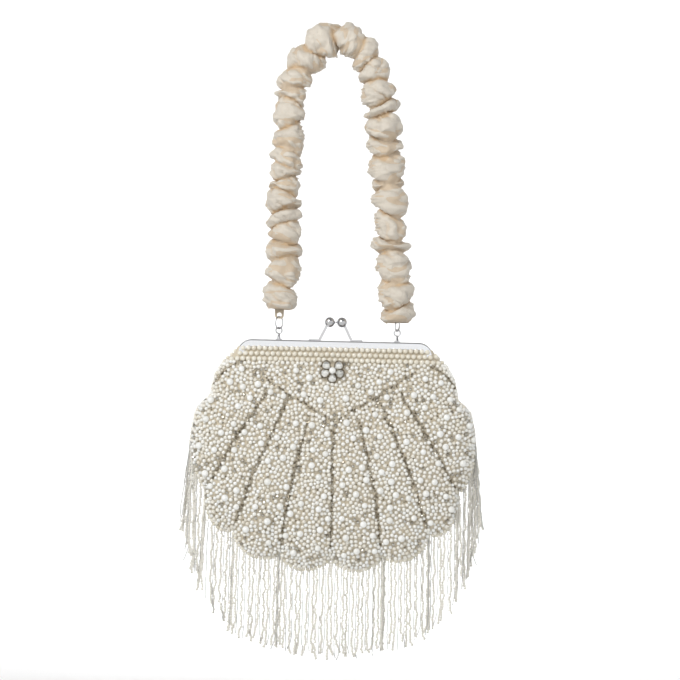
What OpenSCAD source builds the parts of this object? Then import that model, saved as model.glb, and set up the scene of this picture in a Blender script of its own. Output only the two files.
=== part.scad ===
// Beaded evening bag hung by a ruched handle.
// +Z up, the front faces -Y, origin at the underside of the handle's top.

/* [Node] */
// Which node is drawn

/* [Frame] */
// Width of the purse frame across its corners
frame_width = 160; // [158:0.5:162]
// Height of the frame's top bar
bar_height = 5.7; // [5:0.1:6.5]
// Outer corner radius of the frame
corner_radius = 11.5; // [9:0.5:14]
// Depth of each half of the top bar, front to back
bar_depth = 7; // [6.6:0.1:8]

/* [Clasp and lugs] */
// Radius of each clasp ball
ball_radius = 4.1; // [3.5:0.1:4.3]
// Height of the clasp balls above the frame's top
ball_height = 15.3; // [14:0.1:17]
// Radius of the wire of the jump rings
ring_wire = 0.5; // [0.4:0.05:0.55]
// Largest radius of the jump rings, to the wire's centre
ring_radius = 5; // [4.6:0.1:5.4]

/* [Body] */
// How far each scallop stands out past the notches
scallop_depth = 13; // [8:0.5:16]
// Half thickness of the filled bag at its widest
belly = 21; // [18:0.5:24]
// How much each lobe puffs out between the ribs
lobe_puff = 2.2; // [0:0.1:3]
// Thickness of the beaded fabric
fabric = 1.5; // [1.2:0.1:1.8]

/* [Pearls and fringe] */
// Radius of the pearls of the three rows
band_pearl = 2.0; // [1.8:0.1:2.1]
// Radius of the large scattered pearls
large_pearl = 2.7; // [2.2:0.1:3]
// Radius of the pearls along the scalloped edge
edge_pearl = 1.9; // [1.6:0.1:2.1]
// Strands on each lobe
strands = 11; // [7:1:11]
// Radius of one strand
strand_radius = 0.8; // [0.6:0.05:0.9]

/* [Handle] */
// Half width of the ruched cover
cover_half = 13.8; // [12:0.2:15]
// How strongly the cover's puffs vary
puff = 0.13; // [0:0.01:0.16]
// Thickness of the cover's gathered satin
satin = 1.6; // [1.2:0.1:2]

/* [Hidden] */
bag_x = 4;
drop = 236;
hang_y = -0.27;
hinge_z = -33;
focus = 45;
split_z = -47;
a_max = 47.5;
edge_half = 1.4;
seam_gap = 0.15;
ribs = [0, 10.8, 21.8, 31.5, 50];
notch_knots = [[0, 218.8], [10.8, 220.5], [21.8, 213.5], [31.5, 193.5], [50, 133]];
side_knots = [
  [-47, 100.4], [-38.5, 99], [-30.3, 97.2], [-23.8, 93.5],
  [-17.2, 89.4], [-10.7, 82], [-5.9, 79.8]
];
fringe_knots = [
  [0, -261], [20, -260], [45, -254], [67, -248], [82, -239],
  [98, -223], [108, -204], [117, -180], [124, -150]
];
lug_x = [-46.5, 50.5];
ring_yaw = [55, 70];
eye_radius = 2.5;
eye_wire = 0.55;
eye_z = 7.6;
ring_gap = 0.1;
ring_z = eye_z + eye_radius - eye_wire - ring_gap - ring_wire + ring_radius;
tab_z = ring_z + ring_radius - ring_wire - ring_gap - eye_wire + eye_radius;
leg_x = 84.95;
leg_end = -26;
path_knots = [
  [-46.5, 25], [-45.6, 45], [-43.4, 75], [-45.0, 119], [-42.3, 165], [-41.0, 198],
  [-35.7, 217], [-27.8, 231], [-16.6, 243], [-4.0, 248.5], [12.1, 243], [23.5, 226],
  [31.9, 202], [36.0, 168], [41.5, 119], [44.6, 70], [48.6, 45], [50.5, 16]
];
fine = 48;

// ---- shape of the body -------------------------------------------------

function lobe_of(b) = b < ribs[1] ? 0 : b < ribs[2] ? 1 : b < ribs[3] ? 2 : 3;
function lobe_part(b) =
  let (k = lobe_of(b))
  min(1, max(0, (b - ribs[k]) / (ribs[k + 1] - ribs[k])));
function swell(b) = pow(max(0, sin(180 * lobe_part(b))), 0.55);
function edge_r(a) = lookup(abs(a), notch_knots) + scallop_depth * swell(abs(a));
function fan_r(a) = (focus - split_z) / cos(a);

// v runs from 0 at the frame to 1 at split_z, and on to 2 at the scalloped edge
function top_z(v) = -5.9 + (split_z + 5.9) * v;
function spot(a, v) =
  let (s = tan(a) / tan(a_max))
  let (r = fan_r(a) + (edge_r(a) - fan_r(a)) * (v - 1))
  v <= 1 ? [s * lookup(top_z(v), side_knots), top_z(v)] : [r * sin(a), focus - r * cos(a)];
function middle(v) =
  v <= 1
    ? 6.4 + (belly - 9.2) * pow(v, 0.8)
    : (belly - 2.8) * pow(max(0, 1 - pow(v - 1, 3.2)), 0.65) + 5 * sin(180 * min(1, v - 1)) * (2 - v);
function side_power(v) = v <= 1 ? 9 - 3 * v : 6 - (v - 1);
function fall(a, v) = pow(max(0, 1 - pow(abs(tan(a) / tan(a_max)), side_power(v))), 0.5);
function puffed(a, v) = v <= 1 ? 0 : lobe_puff * swell(abs(a)) * sin(180 * min(1, v - 1));
function half(a, v) = edge_half + (middle(v) + puffed(a, v) - edge_half) * fall(a, v);
function depth_at(a, v, inset) = max(seam_gap, half(a, v) - inset);

function fan_columns(per, lim) = [
  for (side = [-1, 1])
    for (k = side < 0 ? [3:-1:0] : [0:1:3])
      for (i = side < 0 ? [per:-1:1] : [1:1:per])
        let (a = ribs[k] + (ribs[k + 1] - ribs[k]) * i / per)
        if (a <= lim) side * a
];
function columns(per, lim) =
  let (c = fan_columns(per, lim))
  let (n = len(c) / 2)
  concat([-lim], [for (i = [0:n - 1]) if (abs(c[i]) < lim - 0.5) c[i]], [0],
    [for (i = [n:2 * n - 1]) if (abs(c[i]) < lim - 0.5) c[i]], [lim]);

// A sheet that follows the body on one side (-1 front, 1 rear), between two insets
module sheet(side, a_list, v_list, outer, inner) {
  na = len(a_list);
  nv = len(v_list);
  layer = na * nv;
  points = [
    for (inset = [outer, inner])
      for (v = v_list)
        for (a = a_list)
          let (p = spot(a, v))
          let (d = inset == outer ? depth_at(a, v, inset) + 0.05 : depth_at(a, v, inset))
          [p[0], side * d, p[1]]
  ];
  skin = [
    for (j = [0:nv - 2])
      for (i = [0:na - 2])
        let (k = j * na + i)
        for (t = [
          [k, k + 1, k + na], [k + 1, k + na + 1, k + na],
          [layer + k, layer + k + na, layer + k + 1],
          [layer + k + 1, layer + k + na, layer + k + na + 1]
        ]) t
  ];
  rim_rows = [
    for (i = [0:na - 2])
      for (t = [
        [i, layer + i, i + 1], [i + 1, layer + i, layer + i + 1],
        [(nv - 1) * na + i, (nv - 1) * na + i + 1, layer + (nv - 1) * na + i],
        [(nv - 1) * na + i + 1, layer + (nv - 1) * na + i + 1, layer + (nv - 1) * na + i]
      ]) t
  ];
  rim_sides = [
    for (j = [0:nv - 2])
      for (t = [
        [j * na, (j + 1) * na, layer + j * na],
        [(j + 1) * na, layer + (j + 1) * na, layer + j * na],
        [j * na + na - 1, layer + j * na + na - 1, (j + 1) * na + na - 1],
        [(j + 1) * na + na - 1, layer + j * na + na - 1, layer + (j + 1) * na + na - 1]
      ]) t
  ];
  all_faces = concat(skin, rim_rows, rim_sides);
  flip = [for (f = all_faces) [f[2], f[1], f[0]]];
  polyhedron(points = points, faces = side < 0 ? all_faces : flip, convexity = 8);
}

function span(from, to, n) = [for (i = [0:n]) from + (to - from) * i / n];

// ---- sweeps ------------------------------------------------------------

function blend4(a, b, c, d, t) =
  0.5 * (2 * b + (c - a) * t + (2 * a - 5 * b + 4 * c - d) * t * t + (3 * b - a - 3 * c + d) * t * t * t);
function smooth(k, n) =
  let (m = len(k))
  concat(
    [
      for (i = [0:m - 2])
        for (j = [0:n - 1])
          blend4(k[max(0, i - 1)], k[i], k[i + 1], k[min(m - 1, i + 2)], j / n)
    ],
    [k[m - 1]]
  );
function along(p, i) =
  let (d = p[min(len(p) - 1, i + 1)] - p[max(0, i - 1)])
  d / norm(d);

// One closed ring of a sweep in the XZ plane, w across the path and d along Y
function hoop(c, dir, w, d, n) = [
  for (k = [0:n - 1])
    let (t = 360 * k / n)
    let (nx = [dir[1], -dir[0]])
    [c[0] + nx[0] * w * cos(t), d * sin(t), c[1] + nx[1] * w * cos(t)]
];
module sweep(rings) {
  n = len(rings[0]);
  m = len(rings);
  points = [for (r = rings) for (p = r) p];
  body = [
    for (j = [0:m - 2])
      for (i = [0:n - 1])
        let (a = j * n + i)
        let (b = j * n + (i + 1) % n)
        for (t = [[a, b, a + n], [b, b + n, a + n]]) t
  ];
  caps = concat(
    [for (i = [1:n - 2]) [0, i + 1, i]],
    [for (i = [1:n - 2]) [(m - 1) * n, (m - 1) * n + i, (m - 1) * n + i + 1]]
  );
  polyhedron(points = points, faces = [for (f = concat(body, caps)) [f[2], f[1], f[0]]], convexity = 6);
}
// A hollow sweep: outer rings, and inner rings of the same count
module tube_sweep(rings, bores) {
  n = len(rings[0]);
  m = len(rings);
  q = n * m;
  points = concat([for (r = rings) for (p = r) p], [for (r = bores) for (p = r) p]);
  walls = [
    for (j = [0:m - 2])
      for (i = [0:n - 1])
        let (a = j * n + i)
        let (b = j * n + (i + 1) % n)
        for (t = [
          [a, b, a + n], [b, b + n, a + n],
          [q + a, q + a + n, q + b], [q + b, q + a + n, q + b + n]
        ]) t
  ];
  ends = [
    for (i = [0:n - 1])
      let (k = (i + 1) % n)
      let (e = (m - 1) * n)
      for (t = [
        [i, q + i, k], [k, q + i, q + k],
        [e + i, e + k, q + e + i], [e + k, q + e + k, q + e + i]
      ]) t
  ];
  polyhedron(points = points, faces = [for (f = concat(walls, ends)) [f[2], f[1], f[0]]], convexity = 8);
}

// Places bag parts: local origin at the middle of the frame's top
module hung() {
  translate([bag_x, -hang_y, -drop]) children();
}

// ---- purse frame -------------------------------------------------------

function corner(r, cx, cz, n) = [for (i = [0:n]) [cx + r * sin(90 * i / n), cz + r * cos(90 * i / n)]];
function bar_outline() =
  let (w = frame_width / 2)
  let (r = corner_radius)
  let (i = r - bar_height * 0.62)
  let (right = concat(
    corner(r, w - r, -r, 10),
    [[w, -14.5], [leg_x + 1.65, leg_end], [leg_x - 1.65, leg_end], [w - 3.6, -15.5]]
  ))
  let (under = [for (k = [10:-1:0]) [w - r - 1 + i * sin(9 * k), -bar_height - i + i * cos(9 * k)]])
  let (half_side = concat(right, under))
  let (n = len(half_side))
  concat(half_side, [for (k = [n - 1:-1:0]) [-half_side[k][0], half_side[k][1]]]);

// One half of the frame; side -1 is the front
module frame_half(side, lug_inner) {
  y_near = 0.2;
  difference() {
    union() {
      intersection() {
        rotate([90, 0, 0])
          linear_extrude(height = 2 * bar_depth, center = true)
            polygon(bar_outline());
        translate([-100, side > 0 ? y_near : -y_near - bar_depth, -60]) cube([200, bar_depth, 70]);
      }
      for (x = [-1, 1])
        translate([x < 0 ? -lug_inner - 1.2 : lug_inner, 0, 0]) {
          translate([0, side > 0 ? y_near : -3.2, hinge_z]) cube([1.2, 3, leg_end - hinge_z + 2]);
          translate([0, 0, hinge_z]) rotate([0, 90, 0]) cylinder(r = 3.2, h = 1.2, $fn = fine);
        }
    }
    // channel for the heading and its paper cord
    translate([-68, side > 0 ? 1.6 : -6.2, -bar_height - 1]) cube([136, 4.6, 5.4]);
    // slimmer legs under the beaded fabric
    for (x = [-1, 1])
      translate([x < 0 ? -90 : 70, side > 0 ? 4.3 : -9.3, -40]) cube([20, 5, 28]);
    for (x = [-1, 1])
      translate([x * 80, 0, hinge_z])
        rotate([0, 90, 0])
          cylinder(r = 1.25, h = 30, center = true, $fn = fine);
  }
}
module front_frame() {
  color("silver") hung() frame_half(-1, 85.1);
}
module rear_frame() {
  color("gray") hung() frame_half(1, 83.6);
}
module hinge_rivet(x) {
  color("silver") hung() translate([x * 85, 0, hinge_z]) rotate([0, 90, 0]) {
    cylinder(r = 1.2, h = 4.6, center = true, $fn = fine);
    translate([0, 0, x > 0 ? 1.6 : -2.4]) cylinder(r = 2.3, h = 0.8, $fn = fine);
    translate([0, 0, x > 0 ? -2.3 : 1.5]) cylinder(r = 2.3, h = 0.8, $fn = fine);
  }
}
module hinge_rivet_left() {
  hinge_rivet(-1);
}
module hinge_rivet_right() {
  hinge_rivet(1);
}
module frame_cord(side) {
  color("tan") hung()
    translate([-66, side * 2.95, -3])
      rotate([0, 90, 0])
        cylinder(r = 1.1, h = 132, $fn = fine);
}
module front_frame_cord() {
  frame_cord(-1);
}
module rear_frame_cord() {
  frame_cord(1);
}
module heading(side) {
  color("linen") hung() translate([-66, side > 0 ? 4.3 : -5.7, -6.1]) cube([132, 1.4, 4.8]);
}
module front_heading() {
  heading(-1);
}
module rear_heading() {
  heading(1);
}

// ---- kiss-lock ---------------------------------------------------------

// A bent flat arm; side -1 stands on the front half and leans from the left
module clasp_arm(side) {
  color("silver") hung()
    translate([0, side > 0 ? 4.4 : -0.8, 0])
      rotate([90, 0, 0])
        linear_extrude(height = 3.6)
          polygon([
            for (p = [[-22, 0.02], [-12.2, 0.02], [-6.6, ball_height - 4], [-4.2, ball_height - 2.6],
              [-4.8, ball_height - 1.2], [-8.6, ball_height - 3.0], [-13.9, 1.3], [-22, 1.3]])
              [-side * p[0], p[1]]
          ]);
}
module front_clasp_arm() {
  clasp_arm(-1);
}
module rear_clasp_arm() {
  clasp_arm(1);
}
module clasp_ball(side) {
  color("silver") hung() translate([side * 5, side * 1.4, ball_height]) {
    sphere(r = ball_radius, $fn = fine);
    translate([-side * (ball_radius - 0.3), 0, 0])
      rotate([0, -side * 90, 0])
        cylinder(r1 = 0.9, r2 = 0.3, h = 0.95, $fn = fine);
  }
}
module front_clasp_ball() {
  clasp_ball(-1);
}
module rear_clasp_ball() {
  clasp_ball(1);
}

// ---- lugs and rings ----------------------------------------------------

// The lug stands on the rear half and leans to the line that the rings hang from
lug_seat = 3.2 - hang_y;
lug_rise = eye_z - eye_radius - 0.8;
module lug(i) {
  color("silver") translate([bag_x + lug_x[i], 0, -drop]) {
    translate([0, 0, eye_z]) rotate([90, 0, 0])
      rotate_extrude($fn = fine) translate([eye_radius, 0]) circle(r = eye_wire, $fn = 24);
    translate([0, lug_seat - 0.8, 0.7]) rotate([atan((lug_seat - 0.8) / lug_rise), 0, 0])
      cylinder(r1 = 1.3, r2 = 0.8, h = norm([lug_seat - 0.8, lug_rise]), $fn = fine);
    translate([0, lug_seat, 0.02]) cylinder(r = 2.4, h = 0.9, $fn = fine);
  }
}
module lug_left() {
  lug(0);
}
module lug_right() {
  lug(1);
}
module jump_ring(i) {
  color("silver") translate([bag_x + lug_x[i], 0, ring_z - drop])
    rotate([90, 0, ring_yaw[i]])
      rotate_extrude($fn = 64) translate([ring_radius, 0]) circle(r = ring_wire, $fn = 24);
}
module ring_left() {
  jump_ring(0);
}
module ring_right() {
  jump_ring(1);
}

// ---- handle ------------------------------------------------------------

handle_path = [for (p = smooth(path_knots, 4)) [p[0] + bag_x, p[1] - drop]];
steps = len(handle_path) - 1;

function cover_w(i) =
  let (e = min(i, steps - i))
  let (wave = sin(i * 53) + 0.6 * sin(i * 97 + 40) + 0.5 * sin(i * 31 + 200))
  cover_half * (1 + puff * wave / 1.4) * (e == 0 ? 0.72 : e == 1 ? 0.9 : 1);
function cover_d(i) = 0.8 * cover_w(i) * (1 + 0.06 * sin(i * 71));

module handle_cover() {
  color("ivory") tube_sweep(
    [for (i = [0:steps]) hoop(handle_path[i], along(handle_path, i), cover_w(i), cover_d(i), 16)],
    [
      for (i = [0:steps])
        hoop(handle_path[i], along(handle_path, i), cover_w(i) - satin, cover_d(i) - satin, 16)
    ]
  );
}
module handle_core() {
  color("tan") sweep([
    for (i = [3:steps - 3]) hoop(handle_path[i], along(handle_path, i), 5, 1, 8)
  ]);
}
// A strap end: two plies beside the core, and an eyelet for the ring
module end_tab(i) {
  color("wheat") translate([bag_x + lug_x[i], 0, tab_z - drop]) {
    difference() {
      rotate([90, 0, 0])
        linear_extrude(height = 2 * eye_wire, center = true)
          union() {
            circle(r = eye_radius + 1.2, $fn = fine);
            polygon([[-3.6, 0], [3.6, 0], [4.1, 10.2], [-4.1, 10.2]]);
          }
      rotate([90, 0, 0]) cylinder(r = eye_radius - eye_wire, h = 6, center = true, $fn = fine);
      translate([-6, -3, -eye_radius - 2.5]) cube([12, 6, 1.95]);
    }
    translate([-4.1, -2.6, 9.9]) cube([8.2, 5.2, 1.6]);
    for (y = [-2.6, 1.4])
      translate([-4.1, y, 11]) cube([8.2, 1.2, 13]);
  }
}
module end_tab_left() {
  end_tab(0);
}
module end_tab_right() {
  end_tab(1);
}

// A line of stitched beads over the body, through points given as [x, z]
function spot_fan(q) = atan(q[0] / (focus - q[1]));
function spot_a(q) = q[1] > split_z ? atan(q[0] / lookup(q[1], side_knots) * tan(a_max)) : spot_fan(q);
function spot_v(q) =
  let (a = spot_fan(q))
  q[1] > split_z
    ? (q[1] + 5.9) / (split_z + 5.9)
    : 1 + (norm([q[0], focus - q[1]]) - fan_r(a)) / (edge_r(a) - fan_r(a));
// Half the bag's thickness at a point of the panel, and how steeply it changes there
function skin(q) = half(spot_a(q), spot_v(q));
function slope(q) =
  norm([skin(q + [0.5, 0]) - skin(q - [0.5, 0]), skin(q + [0, 0.5]) - skin(q - [0, 0.5])]);
trim_lift = 1.85;
module bead_line(line, side) {
  rings = [
    for (i = [0:len(line) - 1])
      let (dir = along(line, i))
      let (q = side * (skin(line[i]) + trim_lift))
      [
        for (k = [0:5])
          let (c = 1.3 * cos(60 * k))
          [line[i][0] + dir[1] * c, q + 1.1 * sin(60 * k), line[i][1] - dir[0] * c]
      ]
  ];
  sweep(rings);
}

// ---- panels ------------------------------------------------------------

fine_cols = columns(6, a_max);
rough_cols = columns(3, a_max);
lining_cols = columns(3, 42);

// The cloth's top corners are cut away where the frame turns down
module corner_room() {
  for (x = [-1, 1]) translate([x * 80.3 - 10, -20, -13.6]) cube([20, 40, 10]);
}
module front_yoke() {
  color("oldlace") hung()
    difference() {
      sheet(-1, fine_cols, span(0.01, 0.32, 3), 0, fabric);
      corner_room();
    }
}
module front_flex() {
  color("oldlace") hung() {
    sheet(-1, fine_cols, span(0.33, 0.985, 5), 0, fabric);
    for (x = [-1, 1])
      bead_line([for (t = span(0.03, 0.93, 5)) [x * (66 - 32 * t), -24 - 22 * t]], -1);
  }
}
module front_shell() {
  color("oldlace") hung() sheet(-1, fine_cols, concat([1], span(1.08, 1.92, 9), [1.97, 2]), 0, fabric);
}
module rear_shell() {
  color("oldlace") hung()
    difference() {
      sheet(1, fine_cols, concat(span(0.01, 1, 6), span(1.08, 1.92, 9), [1.97, 2]), 0, fabric);
      corner_room();
    }
}
module front_interlining() {
  color("khaki") hung() sheet(-1, lining_cols, span(1.01, 1.86, 7), fabric + 0.45, fabric + 1.0);
}
module rear_interlining() {
  color("khaki") hung()
    sheet(1, lining_cols, concat(span(0.1, 1, 5), span(1.1, 1.86, 6)), fabric + 0.45, fabric + 1.0);
}
module front_lining() {
  color("beige") hung() sheet(-1, lining_cols, span(1.01, 1.83, 7), fabric + 1.45, fabric + 1.95);
}
module front_lining_flex() {
  color("beige") hung() sheet(-1, lining_cols, span(0.15, 0.985, 4), fabric + 1.45, fabric + 1.95);
}
module rear_lining() {
  color("beige") hung()
    sheet(1, lining_cols, concat(span(0.1, 1, 5), span(1.1, 1.83, 6)), fabric + 1.45, fabric + 1.95);
}
module lining_pocket() {
  color("beige") hung() sheet(1, span(-22, 22, 8), span(1.05, 1.55, 5), fabric + 2.9, fabric + 3.4);
}

// ---- pearls ------------------------------------------------------------

module band_pearls(side) {
  pitch = 4.4;
  color("white") hung()
    for (row = [0:2]) {
      v = 0.075 + 0.105 * row;
      w = lookup(top_z(v), side_knots) - (row == 0 ? 9.5 : 3);
      n = floor(w / pitch);
      for (i = [-n:n])
        let (a = atan(i * pitch / lookup(top_z(v), side_knots) * tan(a_max)))
        translate([i * pitch, side * (half(a, v) + band_pearl + 0.2), top_z(v)])
          sphere(r = band_pearl, $fn = 20);
    }
}
module front_band_pearls() {
  band_pearls(-1);
}
module rear_band_pearls() {
  band_pearls(1);
}
// Pearls scattered over the lobes, each one at its own fan angle and height
module scattered(side) {
  color("white") hung()
    for (k = [0:3])
      for (x = [-1, 1])
        for (j = [0:k == 3 ? 3 : 6]) {
          middle_a = ribs[k] + (ribs[k + 1] - ribs[k]) * (k == 3 ? 0.42 : 0.5);
          a = x * (middle_a + (j % 2 == 0 ? 2.1 : -2.1) * (k == 3 ? 1.3 : 1));
          v = 1.14 + 0.72 * j / (k == 3 ? 4 : 6.6) + 0.03 * sin(77 * j + 50 * k + 30 * x);
          p = spot(a, v);
          lift = large_pearl * min(1.9, norm([1, slope(p)])) + 0.15;
          translate([p[0], side * (half(a, v) + lift), p[1]])
            sphere(r = large_pearl, $fn = 20);
        }
}
module front_large_pearls() {
  scattered(-1);
}
module rear_large_pearls() {
  scattered(1);
}
module rib_trim(side) {
  color("dimgray") hung()
    for (a = [-ribs[3], -ribs[2], -ribs[1], 0, ribs[1], ribs[2], ribs[3]])
      bead_line([for (v = span(a == 0 ? 1.22 : abs(a) < 11 ? 1.14 : 1.05, 1.93, 11)) spot(a, v)], side);
}
module front_rib_trim() {
  rib_trim(-1);
}
module rear_rib_trim() {
  rib_trim(1);
}
// Places along a lobe that stay clear of the notches at its ends
function lobe_spread(k, n) = [
  for (i = [0:n - 1])
    k == 3
      ? ribs[3] + (a_max - ribs[3]) * (0.09 + 0.9 * i / (n - 1))
      : ribs[k] + (ribs[k + 1] - ribs[k]) * (0.5 - 0.5 * cos(180 * (0.2 + 0.6 * i / (n - 1))))
];
// A point d outside the scalloped edge, square to it
function edge_out(a, d) =
  let (s = spot(a + 0.1, 2) - spot(a - 0.1, 2))
  spot(a, 2) + d * [s[1], -s[0]] / norm(s);
module front_v_trim() {
  color("dimgray") hung()
    bead_line([for (x = span(-31, 31, 8)) [x, -65.5 + 0.57 * abs(x)]], -1);
}
module edge_pearls() {
  color("ivory") hung()
    for (x = [-1, 1])
      for (k = [0:3])
        for (a = lobe_spread(k, [10, 10, 8, 15][k]))
          let (p = edge_out(a, edge_pearl + 0.2))
          translate([x * p[0], 0, p[1]]) sphere(r = edge_pearl, $fn = 20);
}

// ---- brooch ------------------------------------------------------------

brooch_y = 15.6;
module brooch_setting() {
  color("dimgray") hung() translate([-1.9, -brooch_y, -24]) rotate([90, 0, 0]) {
    translate([0, 0, -0.3]) cylinder(r = 4.2, h = 2, $fn = fine);
    for (i = [0:4])
      rotate([0, 0, 18 + 72 * i]) translate([6, 0, 0]) cylinder(r = 3.4, h = 1.4, $fn = fine);
  }
}
module brooch_crystals() {
  color("azure") hung() translate([-1.9, -brooch_y - 1.75, -24]) rotate([90, 0, 0])
    for (i = [0:4])
      rotate([0, 0, 18 + 72 * i]) translate([6.4, 0, 0]) {
        cylinder(r1 = 2.9, r2 = 1.7, h = 1.9, $fn = 8);
      }
}
module brooch_pearl() {
  color("white") hung() translate([-1.9, -brooch_y - 1.9 - 2.7, -24]) sphere(r = 2.7, $fn = 32);
}

// ---- fringe ------------------------------------------------------------

// One strand through a few points, from the edge to its free end
module strand(points, y, r) {
  for (i = [1:len(points) - 1]) {
    d = points[i] - points[i - 1];
    translate([points[i - 1][0], y, points[i - 1][1]]) rotate([0, atan2(d[0], d[1]), 0])
      cylinder(r = r, h = norm(d), $fn = 16);
    if (i > 1) translate([points[i - 1][0], y, points[i - 1][1]]) sphere(r = r, $fn = 16);
  }
}
// Strands hang before and behind the edge pearls; the side lobes' upper ones pass round the bulge
module lobe_fringe(x, k) {
  n = [strands, strands, strands - 1, strands - 2][k];
  color("snow") hung()
    for (i = [0:n - 1]) {
      t = (i + 0.5) / n;
      a = ribs[k] + ((k == 3 ? 46.5 : ribs[k + 1]) - ribs[k]) * t;
      r = edge_r(a) + (k == 2 ? 4.3 : 1);
      top = k == 3 ? edge_out(a, 3) : [r * sin(a), focus - r * cos(a)];
      end_x = k == 3 ? 107 + 17.5 * t : k == 2 ? top[0] + 2 * t : top[0];
      end = [end_x, lookup(end_x, fringe_knots)];
      layer = k < 2 || i % 4 < 2 ? 2.85 : k == 3 ? 4.3 : 4.6;
      route = k == 3 && i >= 6 ? [top, [119 + 0.7 * (i - 6), -84], end] : [top, end];
      strand(
        [for (p = route) [x * p[0], p[1]]], i % 2 == 0 ? -layer : layer,
        k == 3 ? 0.75 * strand_radius : strand_radius
      );
    }
}
module fringe_1() {
  lobe_fringe(-1, 3);
}
module fringe_2() {
  lobe_fringe(-1, 2);
}
module fringe_3() {
  lobe_fringe(-1, 1);
}
module fringe_4() {
  lobe_fringe(-1, 0);
}
module fringe_5() {
  lobe_fringe(1, 0);
}
module fringe_6() {
  lobe_fringe(1, 1);
}
module fringe_7() {
  lobe_fringe(1, 2);
}
module fringe_8() {
  lobe_fringe(1, 3);
}

handle_core();
handle_cover();
end_tab_left();
end_tab_right();
ring_left();
ring_right();
front_frame();
front_frame_cord();
front_heading();
front_clasp_arm();
front_clasp_ball();
front_yoke();
front_flex();
front_lining_flex();
front_band_pearls();
brooch_setting();
brooch_crystals();
brooch_pearl();
rear_frame();
rear_frame_cord();
rear_heading();
rear_clasp_arm();
rear_clasp_ball();
hinge_rivet_left();
hinge_rivet_right();
lug_left();
lug_right();
rear_shell();
front_shell();
rear_interlining();
front_interlining();
rear_lining();
front_lining();
lining_pocket();
rear_band_pearls();
front_large_pearls();
rear_large_pearls();
front_rib_trim();
rear_rib_trim();
front_v_trim();
edge_pearls();
fringe_1();
fringe_2();
fringe_3();
fringe_4();
fringe_5();
fringe_6();
fringe_7();
fringe_8();
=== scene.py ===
"""Evening bag with beaded panels, a kiss-lock frame, a bead fringe and a ruched satin handle."""

import math

import bmesh
import bpy
import numpy as np
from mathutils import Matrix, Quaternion, Vector, noise
from mathutils.kdtree import KDTree


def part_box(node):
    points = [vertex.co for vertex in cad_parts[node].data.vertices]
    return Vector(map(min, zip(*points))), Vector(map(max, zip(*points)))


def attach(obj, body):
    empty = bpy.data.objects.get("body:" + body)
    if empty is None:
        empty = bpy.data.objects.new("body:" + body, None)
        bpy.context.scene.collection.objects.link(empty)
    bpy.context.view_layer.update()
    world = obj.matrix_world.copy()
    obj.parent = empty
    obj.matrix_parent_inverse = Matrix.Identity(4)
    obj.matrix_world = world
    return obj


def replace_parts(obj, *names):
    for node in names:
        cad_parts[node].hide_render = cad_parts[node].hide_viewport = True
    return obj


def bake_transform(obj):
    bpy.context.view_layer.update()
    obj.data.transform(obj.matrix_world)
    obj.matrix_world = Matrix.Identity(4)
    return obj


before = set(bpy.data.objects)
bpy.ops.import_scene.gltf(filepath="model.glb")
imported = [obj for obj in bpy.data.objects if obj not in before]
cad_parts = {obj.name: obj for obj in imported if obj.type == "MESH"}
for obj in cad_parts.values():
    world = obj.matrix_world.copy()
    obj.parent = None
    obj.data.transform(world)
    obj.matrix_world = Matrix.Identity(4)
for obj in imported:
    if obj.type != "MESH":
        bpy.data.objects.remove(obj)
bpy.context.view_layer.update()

MM = 0.001
FRONT, REAR = -1, 1
BODY = {FRONT: "front", REAR: "bag"}
LABEL = {FRONT: "front", REAR: "rear"}

# The bag's own origin: middle of the frame's top, between its two halves.
_front_frame, _rear_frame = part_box("front_frame"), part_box("rear_frame")
ORIGIN = np.array([
    (_front_frame[0][0] + _front_frame[1][0]) / 2,
    (_front_frame[0][1] + _rear_frame[1][1]) / 2,
    _front_frame[1][2],
])


def place(points_mm):
    """Bag coordinates in millimetres to the row frame in metres."""
    return np.asarray(points_mm, float) * MM + ORIGIN


def add_object(name, data):
    o = bpy.data.objects.new(name, data)
    bpy.context.scene.collection.objects.link(o)
    return o


# ---- shader helpers


def material(name):
    m = bpy.data.materials.new(name)
    m.use_nodes = True
    return m, m.node_tree.nodes, m.node_tree.links, m.node_tree.nodes["Principled BSDF"]


def put(node, **values):
    """Sets inputs of a shader node by name; an underscore stands for a space."""
    for name, value in values.items():
        node.inputs[name.replace("_", " ")].default_value = value
    return node


def noise_texture(nodes, scale, **more):
    return put(nodes.new("ShaderNodeTexNoise"), Scale=scale, **more)


def set_stops(ramp, stops):
    """Gives a ramp its colours: pairs of a position and a colour."""
    elements = ramp.color_ramp.elements
    while len(elements) < len(stops):
        elements.new(0.5)
    for element, (at, colour) in zip(elements, stops):
        element.position = at
        element.color = (*colour, 1)


def tint(nodes, links, bsdf, stops, source=None):
    """Base colour from a ramp, driven by a value that differs for each loose part."""
    ramp = nodes.new("ShaderNodeValToRGB")
    set_stops(ramp, stops)
    if source is None:
        source = nodes.new("ShaderNodeNewGeometry").outputs["Random Per Island"]
    links.new(source, ramp.inputs["Fac"])
    links.new(ramp.outputs["Color"], bsdf.inputs["Base Color"])


def scaled_sum(nodes, links, first, factor, second):
    """The first node's value times a factor, plus the second node's value."""
    add = nodes.new("ShaderNodeMath")
    add.operation = "MULTIPLY_ADD"
    add.inputs[1].default_value = factor
    links.new(first.outputs["Fac"], add.inputs[0])
    links.new(second.outputs["Fac"], add.inputs[2])
    return add


def bump(nodes, links, bsdf, height, strength, distance):
    node = put(nodes.new("ShaderNodeBump"), Strength=strength, Distance=distance)
    links.new(height, node.inputs["Height"])
    links.new(node.outputs["Normal"], bsdf.inputs["Normal"])


def painted_glow(bsdf, amount):
    """Painted glow: a little warm white emission that lightens the shaded sides of the pearls and the net
    ground, in place of fill light.
    """
    put(bsdf, Emission_Color=(0.93, 0.89, 0.80, 1), Emission_Strength=amount)


# ---- camera, light, floor

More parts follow.
